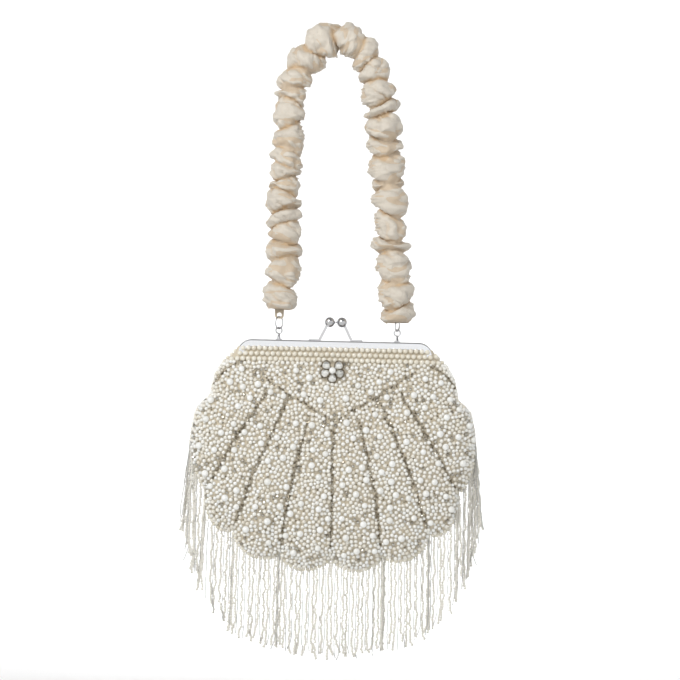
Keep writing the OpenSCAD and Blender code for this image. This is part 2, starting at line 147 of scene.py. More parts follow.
VIEW_DISTANCE = 2.6
VIEW_WIDTH = 0.5576
VIEW_ROLL = 1.3
VIEW_SHIFT_X, VIEW_SHIFT_Z = 0.0037, 0.0009


def camera():
    data = bpy.data.cameras.new("camera")
    data.lens = data.sensor_width * VIEW_DISTANCE / VIEW_WIDTH
    data.clip_end = 20
    cam = add_object("camera", data)
    cam.location = (ORIGIN[0] + VIEW_SHIFT_X, -VIEW_DISTANCE, ORIGIN[2] + VIEW_SHIFT_Z)
    cam.rotation_mode = "QUATERNION"
    level = Quaternion((1, 0, 0), math.radians(90))
    cam.rotation_quaternion = level @ Quaternion((0, 0, 1), math.radians(VIEW_ROLL))
    bpy.context.scene.camera = cam


def area_light(name, at, aim, size, power, colour=(1, 1, 1)):
    data = bpy.data.lights.new(name, "AREA")
    data.shape = "SQUARE"
    data.size = size
    data.energy = power
    data.color = colour
    o = add_object(name, data)
    o.location = at
    o.rotation_mode = "QUATERNION"
    o.rotation_quaternion = (Vector(aim) - Vector(at)).to_track_quat("-Z", "Y")
    return data


WALL_LEVELS = [(0.0, 1.0), (0.32, 0.95), (0.58, 0.42), (1.0, 0.26)]


def studio_walls():
    """Bright all round at bag height, darker above and below, so that polished metal gets dark edges."""
    world = bpy.data.worlds.new("studio")
    bpy.context.scene.world = world
    world.use_nodes = True
    nodes, links = world.node_tree.nodes, world.node_tree.links
    coord = nodes.new("ShaderNodeTexCoord")
    parts = nodes.new("ShaderNodeSeparateXYZ")
    height = nodes.new("ShaderNodeMath")
    height.operation = "ABSOLUTE"
    ramp = nodes.new("ShaderNodeValToRGB")
    set_stops(ramp, [(at, (level,) * 3) for at, level in WALL_LEVELS])
    links.new(coord.outputs["Generated"], parts.inputs["Vector"])
    links.new(parts.outputs["Z"], height.inputs[0])
    links.new(height.outputs[0], ramp.inputs["Fac"])
    links.new(ramp.outputs["Color"], nodes["Background"].inputs["Color"])
    put(nodes["Background"], Strength=0.99)


FLOOR_Z, WALL_Y, WALL_TOP, FLOOR_BEND, FLOOR_SIDE, FLOOR_NEAR = -0.62, 3.3, 2.2, 0.5, 3.5, -3.2
PAPER = [(0, (0.93, 0.93, 0.93)), (1, (0.96, 0.96, 0.96))]


def backdrop():
    """A pale floor that curves up into a pale wall behind the bag."""
    profile = [(FLOOR_NEAR, FLOOR_Z), (WALL_Y - FLOOR_BEND, FLOOR_Z)]
    for k in range(1, 13):
        t = math.radians(90 * k / 12)
        profile.append((WALL_Y - FLOOR_BEND * (1 - math.sin(t)), FLOOR_Z + FLOOR_BEND * (1 - math.cos(t))))
    profile.append((WALL_Y, WALL_TOP))
    verts = [(x, y, z) for x in (-FLOOR_SIDE, FLOOR_SIDE) for y, z in profile]
    n = len(profile)
    mesh = bpy.data.meshes.new("floor")
    mesh.from_pydata(verts, [], [(i, i + 1, n + i + 1, n + i) for i in range(n - 1)])
    mesh.polygons.foreach_set("use_smooth", [True] * (n - 1))
    m, nodes, links, bsdf = material("floor_paper")
    tint(nodes, links, bsdf, PAPER, noise_texture(nodes, 6).outputs["Fac"])
    put(bsdf, Roughness=0.9, Specular_IOR_Level=0.1)
    mesh.materials.append(m)
    add_object("floor", mesh)


camera()
studio_walls()
area_light("key", (-0.8, -1.3, 0.9), (0, 0, -0.28), 0.7, 16.5, (1.0, 0.99, 0.97))
area_light("wash_left", (-1.7, 2.2, 0.6), (-0.5, 3.2, -0.3), 1.0, 9)
area_light("floor_wash", (0, 1.7, 1.5), (0, 2.1, -0.62), 1.2, 11).spread = math.radians(80)
area_light("wash_right", (1.7, 2.2, 0.6), (0.5, 3.2, -0.3), 1.0, 9)
bpy.context.scene.view_settings.view_transform = "Standard"
backdrop()

# ---- mesh helpers


def mesh_from_arrays(name, verts, faces, smooth=True):
    """A mesh object from numpy arrays; faces all have the same number of corners."""
    verts = np.asarray(verts, np.float32)
    faces = np.asarray(faces, np.int32)
    n, sides = faces.shape
    mesh = bpy.data.meshes.new(name)
    mesh.vertices.add(len(verts))
    mesh.vertices.foreach_set("co", verts.ravel())
    mesh.loops.add(n * sides)
    mesh.loops.foreach_set("vertex_index", faces.ravel())
    mesh.polygons.add(n)
    mesh.polygons.foreach_set("loop_start", np.arange(0, n * sides, sides, dtype=np.int32))
    mesh.polygons.foreach_set("loop_total", np.full(n, sides, np.int32))
    mesh.update(calc_edges=True)
    mesh.polygons.foreach_set("use_smooth", np.full(n, smooth))
    o = bpy.data.objects.new(name, mesh)
    bpy.context.scene.collection.objects.link(o)
    return o


def tidy_normals(o):
    """Turns every face of a closed mesh outwards."""
    bm = bmesh.new()
    bm.from_mesh(o.data)
    bmesh.ops.recalc_face_normals(bm, faces=bm.faces)
    bm.to_mesh(o.data)
    bm.free()


def ball_template(subdivisions):
    bm = bmesh.new()
    bmesh.ops.create_icosphere(bm, subdivisions=subdivisions, radius=1)
    verts = np.array([v.co for v in bm.verts])
    faces = np.array([[v.index for v in f.verts] for f in bm.faces])
    bm.free()
    return verts, faces


BALLS = {k: ball_template(k) for k in (1, 2, 3)}


def random_turns(n, rng):
    q = rng.normal(size=(n, 4))
    q /= np.linalg.norm(q, axis=1)[:, None]
    w, x, y, z = q.T
    return np.stack([
        np.stack([1 - 2 * (y * y + z * z), 2 * (x * y - z * w), 2 * (x * z + y * w)], 1),
        np.stack([2 * (x * y + z * w), 1 - 2 * (x * x + z * z), 2 * (y * z - x * w)], 1),
        np.stack([2 * (x * z - y * w), 2 * (y * z + x * w), 1 - 2 * (x * x + y * y)], 1),
    ], 1)


def balls(name, centres_mm, radii_mm, detail, rng, smooth=True):
    """Many small spheres in one mesh, each turned at random."""
    verts, faces = BALLS[detail]
    centres = place(centres_mm)
    radii = np.broadcast_to(np.asarray(radii_mm, float) * MM, (len(centres),))
    turns = random_turns(len(centres), rng)
    v = np.einsum("nij,vj->nvi", turns, verts) * radii[:, None, None] + centres[:, None]
    f = faces[None] + (np.arange(len(centres)) * len(verts))[:, None, None]
    return mesh_from_arrays(name, v.reshape(-1, 3), f.reshape(-1, 3), smooth)


def circle_angles(n):
    return np.linspace(0, 2 * np.pi, n, endpoint=False)


def run_lengths(points):
    """How far along a polyline each of its points lies."""
    return np.concatenate([[0], np.cumsum(np.linalg.norm(np.diff(points, axis=0), axis=1))])


def tube_quads(n, m):
    i, j = np.meshgrid(np.arange(n - 1), np.arange(m), indexing="ij")
    a, b = i * m + j, i * m + (j + 1) % m
    return np.stack([a, b, b + m, a + m], -1).reshape(-1, 4)


def in_triangles(quads):
    return np.concatenate([quads[:, [0, 1, 2]], quads[:, [0, 2, 3]]])


def capped_tube(rings, start, end):
    """Points and triangles of a tube through rings of points, closed to a point at each end."""
    n, m = rings.shape[:2]
    verts = np.concatenate([rings.reshape(-1, 3), [start], [end]])
    i = np.arange(m)
    j = (i + 1) % m
    last = (n - 1) * m
    caps = [np.stack([np.full(m, n * m), j, i], 1), np.stack([np.full(m, n * m + 1), last + i, last + j], 1)]
    return verts, np.concatenate([in_triangles(tube_quads(n, m)), *caps])


# ---- shape of the body, in millimetres

FOCUS, SPLIT_Z, A_MAX = 45.0, -47.0, 47.5
TAN_MAX = math.tan(math.radians(A_MAX))
TOP_Z = -5.9
EDGE_HALF, BELLY, PUFF, SCALLOP = 1.4, 21.0, 2.2, 13.0
RIBS = np.array([0, 10.8, 21.8, 31.5, 50])
NOTCHES = np.array([[0, 218.8], [10.8, 220.5], [21.8, 213.5], [31.5, 193.5], [50, 133]])
SIDES = np.array([
    [-47, 100.4], [-38.5, 99], [-30.3, 97.2], [-23.8, 93.5], [-17.2, 89.4], [-10.7, 82], [-5.9, 79.8],
])
FRINGE_LOW = np.array([
    [0, -261], [20, -260], [45, -254], [67, -248], [82, -239], [98, -223], [108, -204], [117, -180],
    [124, -150],
])


def lobe_of(a):
    """Which lobe a fan angle falls in, counted from the middle."""
    return np.clip(np.searchsorted(RIBS, np.abs(a), side="right") - 1, 0, 3)


def swell(a):
    """How far a lobe stands out between its two ribs: 0 at the ribs, 1 midway."""
    k = lobe_of(a)
    part = np.clip((np.abs(a) - RIBS[k]) / (RIBS[k + 1] - RIBS[k]), 0, 1)
    return np.maximum(0, np.sin(np.pi * part)) ** 0.55


def edge_r(a):
    """Distance from the focus of the fan to the scalloped edge."""
    return np.interp(np.abs(a), NOTCHES[:, 0], NOTCHES[:, 1]) + SCALLOP * swell(a)


def fan_r(a):
    """Distance from the focus of the fan to its straight top."""
    return (FOCUS - SPLIT_Z) / np.cos(np.radians(a))


def side_x(z):
    return np.interp(z, SIDES[:, 0], SIDES[:, 1])


def spot(a, v):
    """The point [x, z] at fan angle a and height v: 0 at the frame, 1 at the split, 2 at the edge."""
    a, v = np.broadcast_arrays(np.asarray(a, float), np.asarray(v, float))
    s = np.tan(np.radians(a)) / TAN_MAX
    z_up = TOP_Z + (SPLIT_Z - TOP_Z) * v
    r = fan_r(a) + (edge_r(a) - fan_r(a)) * (v - 1)
    up = v <= 1
    x = np.where(up, s * side_x(z_up), r * np.sin(np.radians(a)))
    z = np.where(up, z_up, FOCUS - r * np.cos(np.radians(a)))
    return x, z


def half(a, v):
    """Half the thickness of the filled bag there."""
    a, v = np.broadcast_arrays(np.asarray(a, float), np.asarray(v, float))
    w = np.clip(v - 1, 0, 1)
    lower = (BELLY - 2.8) * np.maximum(0, 1 - w**3.2) ** 0.65 + 5 * np.sin(np.pi * w) * (1 - w)
    middle = np.where(v <= 1, 6.4 + (BELLY - 9.2) * np.clip(v, 0, 1) ** 0.8, lower)
    power = np.where(v <= 1, 9 - 3 * v, 6 - w)
    s = np.abs(np.tan(np.radians(a)) / TAN_MAX)
    fall = np.maximum(0, 1 - np.minimum(s, 1) ** power) ** 0.5
    puffed = np.where(v <= 1, 0, PUFF * swell(a) * np.sin(np.pi * w))
    return EDGE_HALF + (middle + puffed - EDGE_HALF) * fall


def fan_place(x, z):
    """The fan angle and height of a point [x, z]."""
    x, z = np.asarray(x, float), np.asarray(z, float)
    a_low = np.degrees(np.arctan2(x, FOCUS - z))
    a_up = np.degrees(np.arctan(x / side_x(z) * TAN_MAX))
    up = z > SPLIT_Z
    v_low = 1 + (np.hypot(x, FOCUS - z) - fan_r(a_low)) / (edge_r(a_low) - fan_r(a_low))
    return np.where(up, a_up, a_low), np.where(up, (z - TOP_Z) / (SPLIT_Z - TOP_Z), v_low)


def surface(x, z, side, lift=0.0):
    """Points on the beaded side at [x, z], lifted along the normal, in millimetres."""
    def y_at(p, q):
        a, v = fan_place(p, q)
        return half(np.clip(a, -A_MAX, A_MAX), np.clip(v, 0, 2))
    e, steepest = 0.4, 1.6
    y = y_at(x, z)
    dx = np.clip((y_at(x + e, z) - y_at(x - e, z)) / (2 * e), -steepest, steepest)
    dz = np.clip((y_at(x, z + e) - y_at(x, z - e)) / (2 * e), -steepest, steepest)
    n = np.stack([-dx, np.ones_like(dx), -dz], -1)
    n /= np.linalg.norm(n, axis=-1)[..., None]
    p = np.stack([x, y, z], -1) + n * np.asarray(lift)[..., None]
    p[..., 1] *= side
    return p


# ---- materials


def pearl_material(name, colours, rough=0.2):
    m, nodes, links, bsdf = material(name)
    tint(nodes, links, bsdf, colours)
    # painted glow that lightens the pearl's shaded side
    painted_glow(bsdf, 0.07)
    put(bsdf, Roughness=rough, Specular_IOR_Level=0.55, Coat_Weight=0.45, Coat_Roughness=0.08)
    bump(nodes, links, bsdf, noise_texture(nodes, 900).outputs["Fac"], 0.04, 0.0003)
    return m


def metal_material(name, colours, rough, scale=600.0):
    m, nodes, links, bsdf = material(name)
    tint(nodes, links, bsdf, colours)
    put(bsdf, Metallic=1, Specular_Tint=(0.25, 0.25, 0.26, 1))
    spread = put(nodes.new("ShaderNodeMapRange"), To_Min=rough * 0.7, To_Max=rough * 1.4)
    links.new(noise_texture(nodes, scale).outputs["Fac"], spread.inputs["Value"])
    links.new(spread.outputs["Result"], bsdf.inputs["Roughness"])
    return m


def ground_material():
    """Net ground between the pearls, with fine threads."""
    m, nodes, links, bsdf = material("net_ground")
    coord = nodes.new("ShaderNodeTexCoord")
    threads = put(nodes.new("ShaderNodeTexVoronoi"), Scale=900)
    stain = noise_texture(nodes, 90)
    ramp = nodes.new("ShaderNodeValToRGB")
    set_stops(ramp, [(0, (0.62, 0.53, 0.38)), (1, (0.84, 0.76, 0.62))])
    mix = put(nodes.new("ShaderNodeMixRGB"), Fac=0.3)
    mix.blend_type = "MULTIPLY"
    links.new(coord.outputs["Object"], threads.inputs["Vector"])
    links.new(coord.outputs["Object"], stain.inputs["Vector"])
    links.new(stain.outputs["Fac"], ramp.inputs["Fac"])
    links.new(ramp.outputs["Color"], mix.inputs["Color1"])
    links.new(threads.outputs["Distance"], mix.inputs["Color2"])
    links.new(mix.outputs["Color"], bsdf.inputs["Base Color"])
    put(bsdf, Roughness=0.7)
    # painted glow that lightens the shade between the pearls
    painted_glow(bsdf, 0.06)
    bump(nodes, links, bsdf, threads.outputs["Distance"], 0.6, 0.0005)
    return m


def satin_material(name, light, shade):
    """Satin whose folds go darker and warmer, from the vertex attribute 'fold': painted shade in the folds.
    """
    m, nodes, links, bsdf = material(name)
    fold = nodes.new("ShaderNodeAttribute")
    fold.attribute_name = "fold"
    middle = tuple(0.5 * (p + q) for p, q in zip(light, shade))
    depth = scaled_sum(nodes, links, noise_texture(nodes, 45, Detail=4), 0.35, fold)
    depth.use_clamp = True
    # painted shade: darker and warmer where the 'fold' attribute is deep, with a little random noise on top
    tint(nodes, links, bsdf, [(0.15, light), (0.6, middle), (1.0, shade)], depth.outputs[0])
    put(bsdf, Roughness=0.5, Sheen_Weight=0.25, Sheen_Roughness=0.4)
    folds = noise_texture(nodes, 70)
    folds.noise_type = "RIDGED_MULTIFRACTAL"
    put(folds, Detail=3, Distortion=0.6)
    weave = scaled_sum(nodes, links, noise_texture(nodes, 1400), 0.15, folds)
    bump(nodes, links, bsdf, weave.outputs[0], 0.55, 0.0014)
    return m


def strand_material(name, light, dark, rough, metallic=0.0):
    m, nodes, links, bsdf = material(name)
    tint(nodes, links, bsdf, [(0.3, dark), (0.7, light)], noise_texture(nodes, 700).outputs["Fac"])
    put(bsdf, Roughness=rough, Metallic=metallic, Coat_Weight=0.3)
    return m


def stone_material():
    m, nodes, links, bsdf = material("cut_stone")
    tint(nodes, links, bsdf, [(0, (0.66, 0.66, 0.62)), (1, (0.95, 0.95, 0.92))])
    put(bsdf, Metallic=0.75, Roughness=0.07, Coat_Weight=1.0)
    return m


WHITE_PEARL = pearl_material("white_pearl", [(0, (0.80, 0.80, 0.77)), (1, (0.87, 0.88, 0.87))], 0.16)
SMALL_PEARL = pearl_material(
    "small_pearl", [(0, (0.70, 0.655, 0.56)), (0.3, (0.80, 0.78, 0.72)), (1, (0.86, 0.86, 0.835))])
BAND_PEARL = pearl_material("band_pearl", [(0, (0.72, 0.67, 0.56)), (1, (0.80, 0.77, 0.68))])
EDGE_PEARL = pearl_material("edge_pearl", [(0, (0.70, 0.66, 0.54)), (1, (0.82, 0.79, 0.70))])
SEED_PEARL = pearl_material("seed_pearl", [(0, (0.50, 0.44, 0.33)), (1, (0.72, 0.67, 0.56))])
MILKY = pearl_material("milky_seed", [(0, (0.78, 0.79, 0.78)), (1, (0.88, 0.89, 0.88))], 0.12)
DARK_SEED = metal_material(
    "dark_seed", [(0, (0.20, 0.17, 0.12)), (0.5, (0.42, 0.37, 0.28)), (1, (0.88, 0.85, 0.78))], 0.25)
SILVER_SEED = metal_material("silver_seed", [(0, (0.42, 0.39, 0.33)), (1, (0.85, 0.84, 0.80))], 0.18)
CHROME = metal_material("bright_chrome", [(0, (0.60, 0.60, 0.61)), (1, (0.68, 0.68, 0.69))], 0.08, 200)
FRAME_METAL = metal_material("frame_metal", [(0, (0.87, 0.88, 0.90)), (1, (0.91, 0.92, 0.94))], 0.16, 120)
# darker copy of the frame metal: painted shade for the rear half's rim
FRAME_METAL_SHADED = metal_material("frame_metal_shaded", [(0, (0.30, 0.30, 0.31)), (1, (0.34, 0.34, 0.35))], 0.2, 120)
SETTING = metal_material("brooch_metal", [(0, (0.05, 0.04, 0.03)), (1, (0.26, 0.22, 0.16))], 0.25, 900)
GROUND = ground_material()
IVORY_SATIN = satin_material("ivory_satin", (0.69, 0.635, 0.55), (0.62, 0.46, 0.29))
TAB_SATIN = satin_material("tab_satin", (0.66, 0.56, 0.42), (0.42, 0.30, 0.18))
LINING = satin_material("lining_cloth", (0.76, 0.70, 0.58), (0.55, 0.46, 0.34))
WEBBING = satin_material("webbing_cloth", (0.70, 0.62, 0.48), (0.50, 0.42, 0.30))
STRAND_CREAM = strand_material("strand_cream", (0.84, 0.825, 0.77), (0.70, 0.67, 0.59), 0.25)
STRAND_CLEAR = strand_material("strand_clear", (0.66, 0.655, 0.64), (0.40, 0.39, 0.37), 0.15, 0.2)
STONE = stone_material()


def wear(o, m, body=None):
    """Gives a piece its material and the body it rides on."""
    o.data.materials.clear()
    o.data.materials.append(m)
    if body:
        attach(o, body)
    return o


BRIGHT_NODES = [
    "ring_left", "ring_right", "lug_left", "lug_right", "hinge_rivet_left", "hinge_rivet_right",
    "front_clasp_arm", "rear_clasp_arm", "front_clasp_ball", "rear_clasp_ball",
]
NODE_LOOKS = {"handle_core": WEBBING, "brooch_pearl": WHITE_PEARL, **dict.fromkeys(BRIGHT_NODES, CHROME)}
for node, m in NODE_LOOKS.items():
    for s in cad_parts[node].material_slots:
        s.material = m

# ---- cloth layers of the body

LEAST_DEPTH, PLY = 0.15, 0.05


def carry(o, side):
    """Front pieces keep their place, baked into their mesh, on no body; rear ones ride on the bag."""
    if side == FRONT:
        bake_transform(o)
    else:
        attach(o, "bag")
    return o


def fan_angles(per_lobe):
    """Fan angles across the body, evenly spaced within each lobe."""
    steps = range(1, per_lobe + 1)
    right = [low + (high - low) * i / per_lobe for low, high in zip(RIBS, RIBS[1:]) for i in steps]
    right = [a for a in right if a < A_MAX - 0.3] + [A_MAX]
    return np.array([-a for a in reversed(right)] + [0.0] + right)


def ripples(x, z):
    """Slack of a lining that hangs free inside the bag."""
    return 0.2 * np.sin(x / 6.5 + 1.5 * np.sin(z / 17)) + 0.12 * np.sin(z / 5.3 + x / 13)


def closed_sheet(name, outer, inner):
    """A thin closed cloth between two grids of points in millimetres."""
    rows, cols = outer.shape[:2]
    n = rows * cols
    faces = []
    for j in range(rows - 1):
        for i in range(cols - 1):
            k = j * cols + i
            faces.append((k, k + 1, k + cols + 1, k + cols))
            faces.append((n + k, n + k + cols, n + k + cols + 1, n + k + 1))
        for k in (j * cols, j * cols + cols - 1):
            faces.append((k, k + cols, n + k + cols, n + k))
    for i in range(cols - 1):
        for k in (i, (rows - 1) * cols + i):
            faces.append((k, n + k, n + k + 1, k + 1))
    points = np.concatenate([outer.reshape(-1, 3), inner.reshape(-1, 3)])
    o = mesh_from_arrays(name, place(points), np.array(faces))
    tidy_normals(o)
    return o


def layer(name, side, a, v, insets, m, stands_for, slack=0.0):
    """A closed sheet of cloth that follows one side of the bag between two depths under its outer face."""
    A, V = np.meshgrid(a, v)
    x, z = spot(A, V)
    depth = half(A, V) - slack * ripples(x, z)
    gap = PLY if insets[0] else 0
    outer = np.stack([x, side * (np.maximum(depth - insets[0], LEAST_DEPTH) + gap), z], -1)
    inner = np.stack([x, side * np.maximum(depth - insets[1], LEAST_DEPTH), z], -1)
    o = wear(closed_sheet(name, outer, inner), m)
    carry(o, side)
    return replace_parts(o, *stands_for)


FULL_A = fan_angles(12)
FULL_V = np.concatenate([np.linspace(0.0, 1, 22), np.linspace(1, 2, 52)[1:]])
LINED_A = np.array([a for a in fan_angles(8) if abs(a) < 42.2])
POCKET_A, POCKET_V = np.linspace(-22, 22, 30), np.linspace(1.05, 1.55, 20)
PANEL, CANVAS, LINED, POCKET = (0, 1.3), (1.95, 2.5), (2.95, 3.45), (4.4, 4.9)

front_panel = layer("front_panel", FRONT, FULL_A, FULL_V, PANEL, GROUND,
                    ["front_yoke", "front_flex", "front_shell"])
rear_panel = layer("rear_panel", REAR, FULL_A, FULL_V, PANEL, GROUND, ["rear_shell"])
front_canvas = layer("front_canvas", FRONT, LINED_A, np.linspace(1.01, 1.86, 26), CANVAS, WEBBING,
                     ["front_interlining"])
rear_canvas = layer("rear_canvas", REAR, LINED_A, np.linspace(0.1, 1.86, 44), CANVAS, WEBBING,
                    ["rear_interlining"])
front_lining = layer("front_lining_cloth", FRONT, LINED_A, np.linspace(0.15, 1.83, 44), LINED, LINING,
                     ["front_lining", "front_lining_flex"], slack=1)
rear_lining = layer("rear_lining_cloth", REAR, LINED_A, np.linspace(0.1, 1.83, 44), LINED, LINING,
                    ["rear_lining"], slack=1)
pocket = layer("pocket_cloth", REAR, POCKET_A, POCKET_V, POCKET, LINING,
               ["lining_pocket"], slack=1)

# ---- pearls and seed beads

BROOCH_SPOT = np.array([-1.9, -24.5])
BAND_V = 0.29
V_LINE = np.array([[-66, -24], [-36, -45.5], [-1.5, -65.5], [31, -47.5], [66, -24]])
EAR_LINES = [np.array([[s * 99, -38], [s * 90, -26], [s * 79, -19.5]]) for s in (-1, 1)]
RIB_TOPS = {0.0: 1.2, 10.8: 1.12, 21.8: 0.98, 31.5: 0.86}


def relax(points, radii, fixed, fixed_radii, side, steps):
    """Pushes points apart over the surface until neighbours hardly overlap."""
    pts = points.copy()
    for _ in range(steps):
        pos = surface(pts[:, 0], pts[:, 1], side)
        everything = np.concatenate([pos, fixed]) if len(fixed) else pos
        sizes = np.concatenate([radii, fixed_radii]) if len(fixed) else radii
        tree = KDTree(len(everything))
        for i, p in enumerate(everything):
            tree.insert(p, i)
        tree.balance()
        move = np.zeros_like(pts)
        reach = sizes.max() + radii.max()
        for i in range(len(pts)):
            for _co, j, d in tree.find_range(pos[i], reach):
                need = sizes[i] + sizes[j]
                if j != i and 1e-6 < d < need:
                    away = (pos[i] - everything[j]) / d
                    move[i] += away[[0, 2]] * (need - d) * (0.5 if j < len(pts) else 0.9)
        pts += np.clip(move, -1.2, 1.2)
        pts = hold_inside(pts)
    return pts


def hold_inside(pts):
    """Brings points back between the pearl rows and the scalloped edge."""
    a, v = fan_place(pts[:, 0], pts[:, 1])
    x, z = spot(np.clip(a, -A_MAX + 0.3, A_MAX - 0.3), np.clip(v, BAND_V + 0.03, 1.985))
    return np.stack([x, z], 1)


def sample_panel(count, side, rng):
    """Points spread evenly over the curved side below the pearl rows."""
    a = rng.uniform(-A_MAX, A_MAX, count * 2)
    v = rng.uniform(BAND_V, 1.99, count * 2)
    e = 0.01
    def at(p, q):
        x, z = spot(p, q)
        return np.stack([x, side * half(p, q), z], -1)
    da = (at(a + e, v) - at(a - e, v)) / (2 * e)
    dv = (at(a, v + e) - at(a, v - e)) / (2 * e)
    weight = np.linalg.norm(np.cross(da, dv), axis=1)
    keep = rng.uniform(0, 1, len(a)) < weight / np.percentile(weight, 99)
    x, z = spot(a[keep], v[keep])
    return np.stack([x, z], 1)[:count]


class Spots:
    """Round spots already taken on the surface, found quickly through a grid of cells."""

    def __init__(self, points, radii):
        self.cells = {}
        for p, r in zip(points, radii):
            self.add(p, r)

    def key(self, p):
        return int(p[0] // 4), int(p[2] // 4)

    def add(self, p, r):
        self.cells.setdefault(self.key(p), []).append((p[0], p[1], p[2], r))

    def clear(self, p, r):
        i, j = self.key(p)
        for a in (i - 1, i, i + 1):
            for b in (j - 1, j, j + 1):
                for x, y, z, q in self.cells.get((a, b), ()):
                    if (x - p[0]) ** 2 + (y - p[1]) ** 2 + (z - p[2]) ** 2 < (r + q) ** 2:
                        return False
        return True


def scatter(side, radius, tries, taken, rng):
    """Random spots on the side that overlap nothing taken so far."""
    points = sample_panel(tries, side, rng)
    places = surface(points[:, 0], points[:, 1], side)
    kept = []
    for q, p in zip(points, places):
        if taken.clear(p, radius):
            taken.add(p, radius)
            kept.append(q)
    return np.array(kept)


def line_points(path, pitch):
    """Points at an even pitch along a polyline [x, z]."""
    path = np.asarray(path, float)
    along = run_lengths(path)
    s = np.arange(0, along[-1], pitch)
    return np.stack([np.interp(s, along, path[:, 0]), np.interp(s, along, path[:, 1])], 1)


def rib_path(a, v0):
    """A rib from height v0 down to the edge, bowed a little outwards."""
    v = np.linspace(v0, 1.97, 60)
    bow = 0.8 * np.sin(np.pi * (v - v0) / (1.97 - v0)) * np.sign(a)
    x, z = spot(a + bow, v)
    return np.stack([x, z], 1)


RIB_LINES = [rib_path(a, RIB_TOPS[abs(a)]) for a in (-31.5, -21.8, -10.8, 0.0, 10.8, 21.8, 31.5)]
DARK_LINES = RIB_LINES + [V_LINE] + EAR_LINES


def dark_seed_points(rng):
    """Dark seeds strewn along the ribs, the V line and the two short lines at the frame's ends."""
    kinds = [(1.3, 1.05)] * len(RIB_LINES) + [(1.5, 1.6)] + [(1.0, 1.3)] * len(EAR_LINES)
    pts = []
    for line, (spread, pitch) in zip(DARK_LINES, kinds):
        p = line_points(line, pitch)
        pts.append(p + rng.normal(0, spread * 0.55, p.shape))
    return np.concatenate(pts)


LARGE_COUNT, LARGE_APART, LARGE_OFF_LINES, LARGE_OFF_BROOCH = 118, 10.3, 3.3, 14.5


def nearest(points, p):
    return np.min(np.hypot(*(np.asarray(points) - p).T))


def large_pearl_points(side, rng):
    """Large pearls, well apart and off the dark lines and the brooch."""
    large = []
    lines = np.concatenate([line_points(line, 1.5) for line in DARK_LINES])
    for p in sample_panel(8000, side, rng):
        a, v = fan_place(p[0], p[1])
        if not 0.45 < v < 1.93 or abs(a) > A_MAX - 1.6:
            continue
        if side == FRONT and nearest([BROOCH_SPOT], p) < LARGE_OFF_BROOCH:
            continue
        if nearest(lines, p) < LARGE_OFF_LINES or (large and nearest(large, p) < LARGE_APART):
            continue
        large.append(p)
        if len(large) == LARGE_COUNT:
            break
    return np.array(large)


def brooch_keep_out(side):
    """Points on three rings that hold the small pearls away from under the brooch."""
    if side == REAR:
        return np.zeros((0, 2))
    t = circle_angles(18)
    return np.concatenate([BROOCH_SPOT + r * np.stack([np.cos(t), np.sin(t)], 1) for r in (2.5, 5.5, 8.0)])


def bead_field(side, seed):
    """Everything sewn on one panel below the pearl rows: pearls first, then seeds in the gaps."""
    label = LABEL[side]
    rng = np.random.default_rng(seed)
    dark = dark_seed_points(rng)
    dark_r = rng.uniform(0.7, 1.05, len(dark))
    large = large_pearl_points(side, rng)
    large_r = rng.uniform(2.45, 2.95, len(large))
    brooch = brooch_keep_out(side)
    held = np.concatenate([dark, large, brooch])
    fixed_r = np.concatenate([dark_r * 0.8, large_r, np.full(len(brooch), 1.7)])
    fixed = surface(held[:, 0], held[:, 1], side)
    small = scatter(side, 1.36, 42000, Spots(fixed, fixed_r * 0.92), rng)
    r = rng.choice([1.64, 1.54, 1.74], len(small), p=[0.5, 0.25, 0.25])
    small = relax(small, r, fixed, fixed_r, side, 9)
    on_side = surface(small[:, 0], small[:, 1], side)
    taken = Spots(np.concatenate([fixed, on_side]), np.concatenate([fixed_r, r]) * 0.88)
    extra = scatter(side, 1.08, 30000, taken, rng)
    small = np.concatenate([small, extra])
    r = np.concatenate([r, rng.uniform(1.15, 1.35, len(extra))])
    kind = rng.uniform(0, 1, len(small))
    _a, v = fan_place(small[:, 0], small[:, 1])
    # more milky seeds low in the lobes
    milky = kind < 0.05 + 0.28 * np.clip(v - 1.55, 0, 1) / 0.45
    silver = (kind > 0.93) & ~milky
    plain = ~(milky | silver)

    def sew(name, points, radii, detail, m, smooth=True, lift=0.72):
        centres = surface(points[:, 0], points[:, 1], side, radii * lift)
        return carry(wear(balls(f"{label}_{name}", centres, radii, detail, rng, smooth), m), side)

    for end, there in (("left", small[:, 0] < 0), ("right", small[:, 0] >= 0)):
        sew(f"small_pearls_{end}", small[plain & there], r[plain & there], 2, SMALL_PEARL)
    sew("milky_seeds", small[milky], r[milky] * 0.95, 2, MILKY)
    sew("silver_seeds", small[silver], r[silver] * 0.9, 1, SILVER_SEED, False)
    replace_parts(sew("large_pearls", large, large_r, 3, WHITE_PEARL, lift=0.8), f"{label}_large_pearls")
    trims = ["front_rib_trim", "front_v_trim"] if side == FRONT else ["rear_rib_trim"]
    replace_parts(sew("dark_seeds", dark, dark_r, 1, DARK_SEED, False, 0.9), *trims)
    seeds = scatter(side, 0.44, 26000, taken, rng)
    dull = rng.uniform(0, 1, len(seeds)) < 0.72
    sizes = rng.uniform(0.5, 0.8, len(seeds))
    sew("seed_pearls", seeds[dull], sizes[dull], 1, SEED_PEARL, lift=0.9)
    sew("tiny_seeds", seeds[~dull], sizes[~dull] * 0.9, 1, DARK_SEED, False, 0.9)


bead_field(FRONT, 11)
bead_field(REAR, 23)

ROW_HEIGHTS, ROW_PITCH = (-7.6, -11.9, -16.1), 4.42


